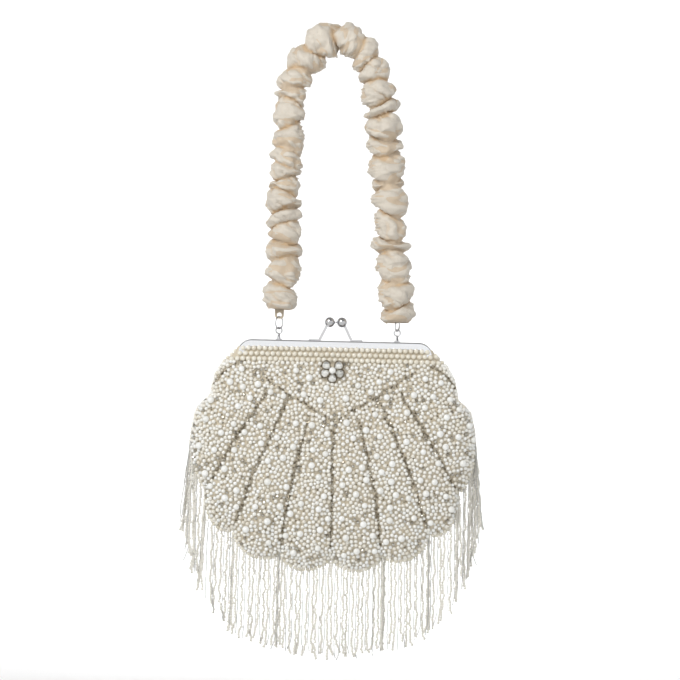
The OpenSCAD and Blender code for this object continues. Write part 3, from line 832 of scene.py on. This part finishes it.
def band_rows(side):
    """Three even rows of pearls under the frame."""
    rng = np.random.default_rng(31 + side)
    centres = []
    for row, z in enumerate(ROW_HEIGHTS):
        reach = side_x(z) + (0.5 if row else -1.5)
        n = int(reach / ROW_PITCH)
        x = (np.arange(-n, n + 1) + (0.5 if row % 2 else 0)) * ROW_PITCH
        x = x[np.abs(x) < reach - 1.2]
        x = x + rng.normal(0, 0.12, len(x))
        drop = 0.6 * (np.abs(x) / 80) ** 6
        centres.append(np.stack([x, z - drop + rng.normal(0, 0.12, len(x))], 1))
    c = np.concatenate(centres)
    lifted = surface(c[:, 0], c[:, 1], side, np.full(len(c), 1.7))
    o = balls(f"{LABEL[side]}_pearl_rows", lifted, 2.02, 3, rng)
    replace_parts(wear(o, BAND_PEARL, BODY[side]), f"{LABEL[side]}_band_pearls")


band_rows(FRONT)
band_rows(REAR)

# ---- scalloped edge


def edge_curve():
    """Fan angle, x and run length along the scalloped edge, from left to right."""
    lobes = [np.linspace(low, min(high, A_MAX), 200)[:-1] for low, high in zip(RIBS, RIBS[1:])]
    right = np.concatenate(lobes + [[A_MAX]])
    a = np.concatenate([-right[::-1][:-1], right])
    x, z = spot(a, 2.0)
    return a, x, run_lengths(np.stack([x, z], 1))


EDGE_A, EDGE_X, EDGE_D = edge_curve()


def edge_beads():
    """One row of pearls round the scalloped edge, between the two panels."""
    rng = np.random.default_rng(41)
    s = np.arange(0.5, EDGE_D[-1], 3.45)
    s += rng.normal(0, 0.15, len(s))
    a = np.interp(s, EDGE_D, EDGE_A)
    r = edge_r(a) + 1.2
    x, z = r * np.sin(np.radians(a)), FOCUS - r * np.cos(np.radians(a))
    y = rng.normal(0, 0.5, len(s))
    o = balls("edge_pearl_row", np.stack([x, y, z], 1), rng.uniform(1.55, 1.85, len(s)), 3, rng)
    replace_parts(wear(o, EDGE_PEARL, "bag"), "edge_pearls")


def side_rows(side):
    """Pearls down the open sides of a panel, from the frame to the first lobe."""
    rng = np.random.default_rng(61 + side)
    v = np.linspace(0.10, 1.0, 14)
    x, z = spot(A_MAX, v)
    for_both = [np.stack([s * (x + 0.3), np.full(len(v), side * 1.7), z], 1) for s in (-1, 1)]
    radii = rng.uniform(1.45, 1.75, 2 * len(v))
    o = balls(f"{LABEL[side]}_side_pearls", np.concatenate(for_both), radii, 2, rng)
    carry(wear(o, EDGE_PEARL), side)


edge_beads()
side_rows(FRONT)
side_rows(REAR)

# ---- frame and brooch

FRAME_HALF, CORNER_R = 80.0, 11.5


def softened(node, name, inset=0.0, bevel=0.45):
    """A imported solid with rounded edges. A frame half's top and corners may be drawn in by the inset."""
    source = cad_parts[node]
    bm = bmesh.new()
    bm.from_mesh(source.data)
    bm.transform(source.matrix_world)
    bmesh.ops.remove_doubles(bm, verts=bm.verts, dist=1e-6)
    top = max(v.co.z for v in bm.verts)
    for v in bm.verts:
        past = v.co.x - ORIGIN[0]
        out_x = max(0, abs(past) - (FRAME_HALF - CORNER_R) * MM)
        out = Vector((math.copysign(out_x, past), 0, max(0, v.co.z - top + CORNER_R * MM)))
        if out.length > (CORNER_R - 0.5) * MM:
            v.co -= out.normalized() * inset * MM * min(1, max(0, (v.co.z - top) / MM / 6 + 3))
    bmesh.ops.dissolve_limit(bm, angle_limit=math.radians(2), verts=bm.verts, edges=bm.edges)
    sharp = [e for e in bm.edges if len(e.link_faces) == 2 and e.calc_face_angle(0) > math.radians(35)]
    bmesh.ops.bevel(
        bm, geom=sharp, offset=bevel * MM, segments=3, profile=0.5, affect="EDGES", clamp_overlap=True)
    bmesh.ops.triangulate(bm, faces=bm.faces)
    mesh = bpy.data.meshes.new(name)
    bm.to_mesh(mesh)
    bm.free()
    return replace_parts(add_object(name, mesh), node)


# The front half is a little smaller, so that the rear one shows round it as a rim, in a darker copy of the
# frame metal: painted shade along the frame's edge.
wear(softened("front_frame", "front_frame_bar", 0.9), FRAME_METAL, "front")
wear(softened("rear_frame", "rear_frame_bar"), FRAME_METAL_SHADED, "bag")

BROOCH_AT = np.array([-1.9, -15.6, -24.0])
PETALS = [-90, -22, 38, 142, 202]


def petal_outline(turn, scale, n):
    """A pear outline with its tip near the middle of the brooch."""
    t = np.linspace(0, 2 * np.pi, n, endpoint=False)
    along = 6.0 - 4.2 * scale * np.cos(t)
    across = 4.6 * scale * np.sin(t) * np.abs(np.sin(t / 2)) ** 0.7
    c, s = math.cos(math.radians(turn)), math.sin(math.radians(turn))
    return np.stack([along * c - across * s, along * s + across * c], 1)


def brooch_ring(turn, scale, n, height):
    outline = petal_outline(turn, scale, n)
    return [(BROOCH_AT[0] + x, BROOCH_AT[1] - height, BROOCH_AT[2] + z) for x, z in outline]


def brooch_stones():
    """Five pear stones, each cut in two steps that close to a low point."""
    verts, faces = [], []
    n, levels = 12, [(0.80, 0.6), (0.84, 2.1), (0.40, 3.5)]
    for turn in PETALS:
        base = len(verts)
        for scale, height in levels:
            verts += brooch_ring(turn, scale, n, height)
        for k in range(len(levels) - 1):
            for i in range(n):
                a, b = base + k * n + i, base + k * n + (i + 1) % n
                faces += [(a, b, b + n), (a, b + n, a + n)]
        for k, flip in ((0, False), (len(levels) - 1, True)):
            ring = [base + k * n + i for i in range(n)]
            centre = len(verts)
            verts.append(tuple(np.mean([verts[q] for q in ring], axis=0) - (0, 0.25 if k else 0, 0)))
            for i in range(n):
                f = (centre, ring[(i + 1) % n], ring[i])
                faces.append(f[::-1] if flip else f)
    o = mesh_from_arrays("brooch_stones", place(verts), faces, smooth=False)
    tidy_normals(o)
    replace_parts(wear(o, STONE, "front"), "brooch_crystals")


def brooch_rims():
    """A row of dark metal grains round each stone."""
    rng = np.random.default_rng(67)
    centres = np.array([p for turn in PETALS for p in brooch_ring(turn, 0.98, 34, 2.1)])
    o = balls("brooch_rims", centres, 0.4, 2, rng)
    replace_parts(wear(o, SETTING, "front"), "brooch_setting")


brooch_stones()
brooch_rims()

# ---- fringe

# bead radius, pitch, corners round a bead, sway, name and material of the two kinds of strand
CLEAR_STRAND = (0.48, 1.6, 5, 0.15, "clear", STRAND_CLEAR)
CREAM_STRAND = (1.25, 2.2, 7, 0.42, "cream", STRAND_CREAM)
EDGE_CENTRE = len(EDGE_X) // 2
LAST_RIB = int(np.searchsorted(EDGE_A, RIBS[3]))


def bead_string(points, radius, pitch, corners, rng):
    """A string of beads along a polyline, as rings that swell at each bead and close at the ends."""
    points = np.asarray(points, float)
    d = run_lengths(points)
    beads = max(3, int(d[-1] / pitch))
    per = 3
    n = beads * per + 1
    s = np.linspace(0, d[-1], n)
    centre = np.stack([np.interp(s, d, points[:, k]) for k in range(3)], 1)
    size = rng.uniform(0.86, 1.1, beads + 1)[np.minimum(np.arange(n) // per, beads)]
    rad = np.where(np.arange(n) % per == 0, 0.42, 1.0) * radius * size
    rad[0] = rad[-1] = radius * 0.3
    off = np.repeat(rng.normal(0, radius * 0.26, (beads + 1, 2)), per, axis=0)[:n]
    t = np.gradient(centre, axis=0)
    t /= np.linalg.norm(t, axis=1)[:, None]
    u = np.cross(t, np.array([0.0, 1.0, 0.0]))
    u /= np.linalg.norm(u, axis=1)[:, None]
    w = np.cross(t, u)
    centre = centre + u * off[:, :1] + w * off[:, 1:]
    turn = circle_angles(corners)[None, :, None]
    rings = centre[:, None] + rad[:, None, None] * (np.cos(turn) * u[:, None] + np.sin(turn) * w[:, None])
    return capped_tube(rings, centre[0], centre[-1])


def strand_path(x, z, end_x, low, y, sway, rng):
    """Down from the edge, a little outwards, with slow sideways waves."""
    t = np.linspace(0, 1, 26)
    phase, turns = rng.uniform(0, 2 * np.pi), rng.uniform(2.0, 4.5)
    wave = np.sin(2 * np.pi * turns * t + phase) + 0.5 * np.sin(2 * np.pi * turns * 2.3 * t + phase * 2)
    curl = rng.normal(0, 1.6) * np.clip((t - 0.8) / 0.2, 0, 1) ** 2
    px = x + (end_x - x) * t**0.8 + sway * wave * np.minimum(1, t * 4) + curl
    py = y + 0.4 * sway * np.cos(2 * np.pi * turns * t + phase)
    return np.stack([px, py, z - (z - low) * t], 1)


def strand_starts(rng):
    """Where the strands leave the edge: evenly across the bottom, along the edge at the sides."""
    starts = []
    x_side = float(edge_point(RIBS[3])[0])
    x, i = 1.2, 0
    while x < x_side:
        a = float(np.interp(x, EDGE_X[EDGE_CENTRE:LAST_RIB], EDGE_A[EDGE_CENTRE:LAST_RIB]))
        fine = i % 5 in (1, 3)
        starts.append((a, fine))
        x += (1.9 if fine else 3.0) * rng.uniform(0.85, 1.15)
        i += 1
    for rib in RIBS[1:4]:
        for q in range(3):
            starts.append((rib + rng.uniform(-0.6, 0.6), q == 2))
    s, end = np.interp([RIBS[3] + 0.3, A_MAX - 0.6], EDGE_A, EDGE_D)
    while s < end:
        fine = i % 5 in (1, 3)
        starts.append((float(np.interp(s, EDGE_D, EDGE_A)), fine))
        s += (3.0 if fine else 5.2) * rng.uniform(0.85, 1.15)
        i += 1
    return starts


def edge_point(a):
    """Where a strand leaves the edge at a fan angle."""
    r = float(edge_r(np.array(a))) + 1.6
    return np.array([r * math.sin(math.radians(a)), FOCUS - r * math.cos(math.radians(a))])


SIDE_END_X, SIDE_SPREAD, SIDE_LAST_A = 107, 17.0, 46.5


def fringe():
    """Strands from the edge down to the fringe's low line, in one piece per lobe and kind."""
    rng = np.random.default_rng(53)
    store = {}
    for side in (-1, 1):
        for a, fine in strand_starts(rng):
            x, z = edge_point(a)
            k = int(lobe_of(a))
            lobe = 3 - k if side < 0 else 4 + k
            t = np.clip((a - RIBS[3]) / (SIDE_LAST_A - RIBS[3]), 0, 1)
            end_x, loose, depth = (1.012 * x, 0.5, 2.2) if k < 3 else (SIDE_END_X + SIDE_SPREAD * t, 0.8, 3.4)
            end_x += rng.normal(0, loose)
            low = float(np.interp(end_x, FRINGE_LOW[:, 0], FRINGE_LOW[:, 1])) + rng.uniform(-1.5, 5.0)
            y = rng.uniform(-depth, depth)
            radius, pitch, corners, sway, _name, _m = CLEAR_STRAND if fine else CREAM_STRAND
            path = strand_path(side * x, z, side * end_x, low, y, sway, rng)
            v, f = bead_string(path, radius, pitch, corners, rng)
            verts, faces = store.setdefault((lobe, fine), ([], []))
            faces.append(f + sum(map(len, verts)))
            verts.append(v)
    made = []
    for (lobe, fine), (verts, faces) in sorted(store.items()):
        name, m = (CLEAR_STRAND if fine else CREAM_STRAND)[4:]
        o = mesh_from_arrays(f"fringe_{lobe + 1}_{name}", place(np.concatenate(verts)), np.concatenate(faces))
        made.append(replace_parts(wear(o, m, "bag"), f"fringe_{lobe + 1}"))
    return made


strands = fringe()

# ---- handle

PATH = np.array([
    [-46.5, 25], [-45.6, 45], [-43.4, 75], [-45.0, 119], [-42.3, 165], [-41.0, 198],
    [-35.7, 217], [-27.8, 231], [-16.6, 243], [-4.0, 248.5], [12.1, 243], [23.5, 226],
    [31.9, 202], [36.0, 168], [41.5, 119], [44.6, 70], [48.6, 45], [50.5, 16],
])
ORIGIN_Y_MM = -ORIGIN[1] / MM
PINCH_RINGS, PINCH_AROUND = 440, 44
FABRIC_LENGTH, FABRIC_RADIUS = 1.42, 14.3
PUFF_LIMIT, SATIN = 16.2, 0.5
FOLDS = [((10.0, 30.0, 0.5), 2.2), ((7.0, 24.0, -0.6), -1.3)]


def smooth_path(knots, per):
    """A smooth curve through the knots, with the same number of steps between each two."""
    out = []
    last = len(knots) - 1
    for i in range(last):
        a, b, c, d = knots[max(0, i - 1)], knots[i], knots[i + 1], knots[min(last, i + 2)]
        for t in np.arange(per) / per:
            bend = (2 * a - 5 * b + 4 * c - d) * t * t + (3 * b - a - 3 * c + d) * t**3
            out.append(0.5 * (2 * b + (c - a) * t + bend))
    out.append(knots[-1])
    return np.array(out)


def smooth_noise(x, seed):
    """Random values at the whole numbers, eased between."""
    table = np.random.default_rng(seed).uniform(-1, 1, 512)
    i = np.floor(x).astype(int)
    f = x - i
    f = f * f * (3 - 2 * f)
    return table[i % 512] * (1 - f) + table[(i + 1) % 512] * f


def pinched_tube(length, rng):
    """A tube of soft puffs between slanting pinches: its points, where the pinches are, and how deep."""
    cuts = [0.0]
    while cuts[-1] < length - 9:
        cuts.append(cuts[-1] + rng.uniform(9, 23))
    cuts[-1] = length
    cuts = np.array(cuts)
    slant = rng.uniform(0.5, 1.0, len(cuts)) * 6.0
    slant[0] = slant[-1] = 0
    turn = rng.uniform(0, 2 * np.pi, len(cuts))
    pinch = 7.6 * rng.uniform(0.85, 1.25, len(cuts))
    puff = 14.4 * rng.uniform(0.86, 1.13, len(cuts))
    s = np.linspace(0, length, PINCH_RINGS)
    t = np.linspace(0, 2 * np.pi, PINCH_AROUND, endpoint=False)
    S, T = np.meshgrid(s, t, indexing="ij")
    C = cuts[:, None, None] + slant[:, None, None] * np.sin(T[None] + turn[:, None, None])
    k = np.clip((S[None] >= C).sum(0) - 1, 0, len(cuts) - 2)
    lo = np.take_along_axis(C, k[None], 0)[0]
    hi = np.take_along_axis(C, k[None] + 1, 0)[0]
    u = np.clip((S - lo) / np.maximum(hi - lo, 1e-3), 0, 1)
    near = np.minimum(S - lo, hi - S)
    low = np.where(u < 0.5, pinch[k], pinch[k + 1])
    R = low + (puff[k] - low) * np.maximum(0, 1 - np.abs(2 * u - 1) ** 2.6)
    for _ in range(40):
        around, along, phase = rng.integers(1, 9), rng.uniform(-0.9, 0.9), rng.uniform(0, 2 * np.pi)
        R = R + 0.12 * np.sin(along * S + around * T + phase) * np.clip(near / 2, 0.3, 1)
    ends = (S < 0.01) | (S > length - 0.01)
    loose = (np.sin(T + turn[k] * 2) > 0.35) & ~ends
    pinned = ((near < 0.7) | ends) & ~loose
    return np.stack([S, R * np.cos(T), R * np.sin(T) * 0.92], -1), pinned


WORK_SCALE, CLOTH_FRAMES = 10.0, 24


def gather_cloth(points, pinned, length):
    """The satin tube is cut longer than the handle and gathered onto it by a cloth simulation."""
    n, m = points.shape[:2]
    s = np.linspace(0, length * FABRIC_LENGTH, n)
    S, T = np.meshgrid(s, circle_angles(m), indexing="ij")
    flat = np.stack([S, FABRIC_RADIUS * np.cos(T), FABRIC_RADIUS * np.sin(T)], -1)
    o = mesh_from_arrays("gather_work", points.reshape(-1, 3) * MM * WORK_SCALE, tube_quads(n, m))
    o.shape_key_add(name="Basis")
    key = o.shape_key_add(name="cut")
    key.data.foreach_set("co", (flat * MM * WORK_SCALE).astype(np.float32).ravel())
    key.value = 0
    o.vertex_groups.new(name="pin").add([int(q) for q in np.nonzero(pinned.ravel())[0]], 1.0, "REPLACE")
    mod = o.modifiers.new("cloth", "CLOTH")
    cloth, touch = mod.settings, mod.collision_settings
    cloth.vertex_group_mass = "pin"
    cloth.rest_shape_key = key
    cloth.quality = 5
    cloth.mass = 0.15
    cloth.air_damping = 5
    cloth.tension_stiffness = cloth.compression_stiffness = 15
    cloth.shear_stiffness = 5
    cloth.bending_stiffness = 6
    cloth.bending_damping = 0.5
    cloth.use_pressure = True
    cloth.uniform_pressure_force = 3
    cloth.effector_weights.gravity = 0
    touch.use_collision = False
    touch.use_self_collision = True
    touch.self_distance_min = 0.0007 * WORK_SCALE
    touch.self_friction = 5
    scene = bpy.context.scene
    for span in (mod.point_cache, scene):
        span.frame_start, span.frame_end = 1, CLOTH_FRAMES
    for f in range(1, CLOTH_FRAMES + 1):
        scene.frame_set(f)
    done = o.evaluated_get(bpy.context.evaluated_depsgraph_get()).to_mesh()
    out = np.empty(len(done.vertices) * 3, np.float32)
    done.vertices.foreach_get("co", out)
    scene.frame_set(1)
    bpy.data.objects.remove(o)
    return out.reshape(n, m, 3) / MM / WORK_SCALE


def doubled(g, axis, closed):
    """The grid with a smooth point added between each two along one axis."""
    g = np.moveaxis(g, axis, 0)
    if closed:
        mid = (9 * (g + np.roll(g, -1, 0)) - (np.roll(g, 1, 0) + np.roll(g, -2, 0))) / 16
    else:
        q = np.concatenate([2 * g[:1] - g[1:2], g, 2 * g[-1:] - g[-2:-1]])
        mid = (9 * (q[1:-2] + q[2:-1]) - (q[:-3] + q[3:])) / 16
    out = np.empty((len(g) + len(mid),) + g.shape[1:])
    out[0::2], out[1::2] = g, mid
    return np.moveaxis(out, 0, axis)


def grid_normals(g):
    """Outward normals of a tube whose axis is x."""
    ds = np.gradient(g, axis=0)
    dt = np.roll(g, -1, 1) - np.roll(g, 1, 1)
    n = np.cross(dt, ds)
    n /= np.maximum(np.linalg.norm(n, axis=-1), 1e-9)[..., None]
    out = g.copy()
    out[..., 0] = 0
    return n * np.sign((n * out).sum(-1).mean())


def inner_pleats(g):
    """Fine pleats on the side of the tube that faces into the loop."""
    S = g[..., 0]
    T = circle_angles(g.shape[1])[None]
    facing = np.clip(np.cos(T - np.pi), 0, 1) ** 2
    where = np.clip(0.5 + 1.1 * smooth_noise(S / 11, 71), 0, 1)
    wave = np.sin(2 * np.pi * (S / 3.0 + 0.5 * smooth_noise(S / 9, 72)) + 0.7 * np.sin(T * 2))
    lift = (np.abs(wave) ** 0.6 * np.sign(wave)) * 0.62 * facing * where
    return g + grid_normals(g) * lift[..., None]


def creases(g):
    """Sharp folds that run slantwise over the puffs, as in pressed satin."""
    flat = g.reshape(-1, 3)
    lift = np.zeros(len(flat))
    for (along, across, lean), amount in FOLDS:
        for i, (x, y, z) in enumerate(flat):
            q = Vector((x / along + lean * z / 10, y / across + lean, z / across))
            lift[i] += amount * (min(1.0, 2.4 * abs(noise.noise(q))) ** 0.6 - 0.7)
    return g + grid_normals(g) * lift.reshape(g.shape[:2])[..., None]


def bend_along(g, path, d):
    """Wraps a straight tube round the handle's path; its side at -x of the tube faces into the loop."""
    s = np.clip(g[..., 0], 0, d[-1])
    c = np.stack([np.interp(s, d, path[:, k]) for k in (0, 1)], -1)
    tangent = np.gradient(path, axis=0)
    tangent /= np.linalg.norm(tangent, axis=1)[:, None]
    t = np.stack([np.interp(s, d, tangent[:, k]) for k in (0, 1)], -1)
    t /= np.linalg.norm(t, axis=-1)[..., None]
    over = (g[..., 0] - s)[..., None]
    xz = c + t * over + np.stack([-t[..., 1], t[..., 0]], -1) * g[..., 1][..., None]
    return np.stack([xz[..., 0], g[..., 2] + ORIGIN_Y_MM, xz[..., 1]], -1)


def rim_faces(n, m, inner_n, inner_m):
    """Triangles that join the two ends of an outer tube to an inner one with half as many corners."""
    faces = []
    ends = ((0, 0, n * m), (1, (n - 1) * m, n * m + (inner_n - 1) * inner_m))
    for far, first_out, first_in in ends:
        for j in range(inner_m):
            a, b, c = (first_out + (2 * j + q) % m for q in (0, 1, 2))
            p, q = first_in + j, first_in + (j + 1) % inner_m
            new = [(a, p, b), (b, p, q), (b, q, c)]
            faces += [f[::-1] for f in new] if far else new
    return np.array(faces)


def fold_shade_depth(smooth, outer):
    """How deep in a fold each point of the cover lies, from 0 on a puff to 1, for the satin's painted shade.
    """
    depth = np.hypot(smooth[..., 1], smooth[..., 2])
    around = depth.copy()
    for _ in range(5):
        around = (np.roll(around, 3, 1) + np.roll(around, -3, 1) + around) / 3
        pad = np.pad(around, ((4, 4), (0, 0)), mode="edge")
        around = (pad[:-8] + pad[8:] + around) / 3
    valley = depth - np.hypot(outer[..., 1], outer[..., 2])
    return np.clip((around - depth) / 2.6 + 0.05 * valley - 0.02, 0, 1)


def handle_cover():
    """The gathered satin tube: simulated straight, creased, and bent along the handle."""
    path = smooth_path(PATH, 30)
    d = run_lengths(path)
    grid, pinned = pinched_tube(d[-1], np.random.default_rng(5))
    grid = gather_cloth(grid, pinned, d[-1])
    radius = np.hypot(grid[..., 1], grid[..., 2])
    grid[..., 1:] *= np.where(radius > PUFF_LIMIT, PUFF_LIMIT / radius, 1)[..., None]
    inner = grid - grid_normals(grid) * SATIN
    smooth = doubled(doubled(grid, 0, False), 1, True)
    outer = inner_pleats(creases(smooth))
    (n, m), (inner_n, inner_m) = outer.shape[:2], inner.shape[:2]
    quads = np.concatenate([tube_quads(n, m), tube_quads(inner_n, inner_m)[:, ::-1] + n * m])
    faces = np.concatenate([in_triangles(quads), rim_faces(n, m, inner_n, inner_m)])
    points = np.concatenate([bend_along(g, path, d).reshape(-1, 3) for g in (outer, inner)])
    o = mesh_from_arrays("ruched_cover", place(points), faces)
    tidy_normals(o)
    # fold depth drives the satin's painted shade in the folds
    fold = np.concatenate([fold_shade_depth(smooth, outer).ravel(), np.full(inner_n * inner_m, 0.5)])
    o.data.attributes.new("fold", "FLOAT", "POINT").data.foreach_set("value", fold.astype(np.float32))
    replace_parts(wear(o, IVORY_SATIN, "handle"), "handle_cover")


EYE_TOP, EYE_FADE, EYE_THIN = 8.1, 3.0, 0.58


def strap(node, name):
    """A satin strap end, soft at its edges and a little uneven, thinner where the ring turns in its eye."""
    o = softened(node, name, bevel=0.3)
    bm = bmesh.new()
    bm.from_mesh(o.data)
    long_edges = [e for e in bm.edges if e.calc_length() > 2 * MM]
    bmesh.ops.subdivide_edges(bm, edges=long_edges, cuts=3, use_grid_fill=True)
    low = min(v.co.z for v in bm.verts)
    for v in bm.verts:
        above_eye = min(1, max(0, ((v.co.z - low) / MM - EYE_TOP) / EYE_FADE))
        v.co.y *= EYE_THIN + (1 - EYE_THIN) * above_eye
        v.co.y += 0.12 * MM * above_eye * noise.noise(v.co * 260)
        v.co.x += 0.10 * MM * above_eye * noise.noise(v.co * 330)
    bmesh.ops.triangulate(bm, faces=bm.faces)
    bm.to_mesh(o.data)
    bm.free()
    wear(o, TAB_SATIN, "handle")


handle_cover()
strap("end_tab_left", "left_strap")
strap("end_tab_right", "right_strap")

# ---- cords and headings in the frame

CHANNEL_HALF, CORD_RADIUS, CORD_Y, CORD_Z = 66, 1.05, 2.95, -3.0
HEADING_Y, HEADING_THICK, HEADING_LOW, HEADING_TOP = 5.0, 1.16, -6.1, -1.3


def channel_cord(side):
    """The twisted cord that holds the cloth in the frame's channel."""
    x = np.linspace(-CHANNEL_HALF, CHANNEL_HALF, 200)
    X, T = np.meshgrid(x, circle_angles(15), indexing="ij")
    r = CORD_RADIUS * (1 + 0.07 * np.cos(3 * T - X * 1.6))
    rings = np.stack([X, side * CORD_Y + r * np.cos(T), CORD_Z + r * np.sin(T)], -1)
    route = np.stack([x, np.full(200, side * CORD_Y), np.full(200, CORD_Z)], 1)
    verts, faces = capped_tube(rings, route[0], route[-1])
    o = mesh_from_arrays(f"{LABEL[side]}_channel_cord", place(verts), faces)
    tidy_normals(o)
    wear(o, WEBBING, BODY[side])
    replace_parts(o, f"{LABEL[side]}_frame_cord")


def heading_band(side):
    """The folded top edge of the lining, held in the frame."""
    x = np.linspace(-CHANNEL_HALF, CHANNEL_HALF, 120)
    z = np.linspace(HEADING_LOW, HEADING_TOP, 8)
    X, Z = np.meshgrid(x, z)
    wave = 0.1 * np.sin(X / 3.1 + Z)
    plies = [np.stack([X, side * HEADING_Y + wave + s * HEADING_THICK / 2, Z], -1) for s in (-1, 1)]
    o = wear(closed_sheet(f"{LABEL[side]}_heading_band", *plies), WEBBING, BODY[side])
    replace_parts(o, f"{LABEL[side]}_heading")


for side in (FRONT, REAR):
    channel_cord(side)
    heading_band(side)
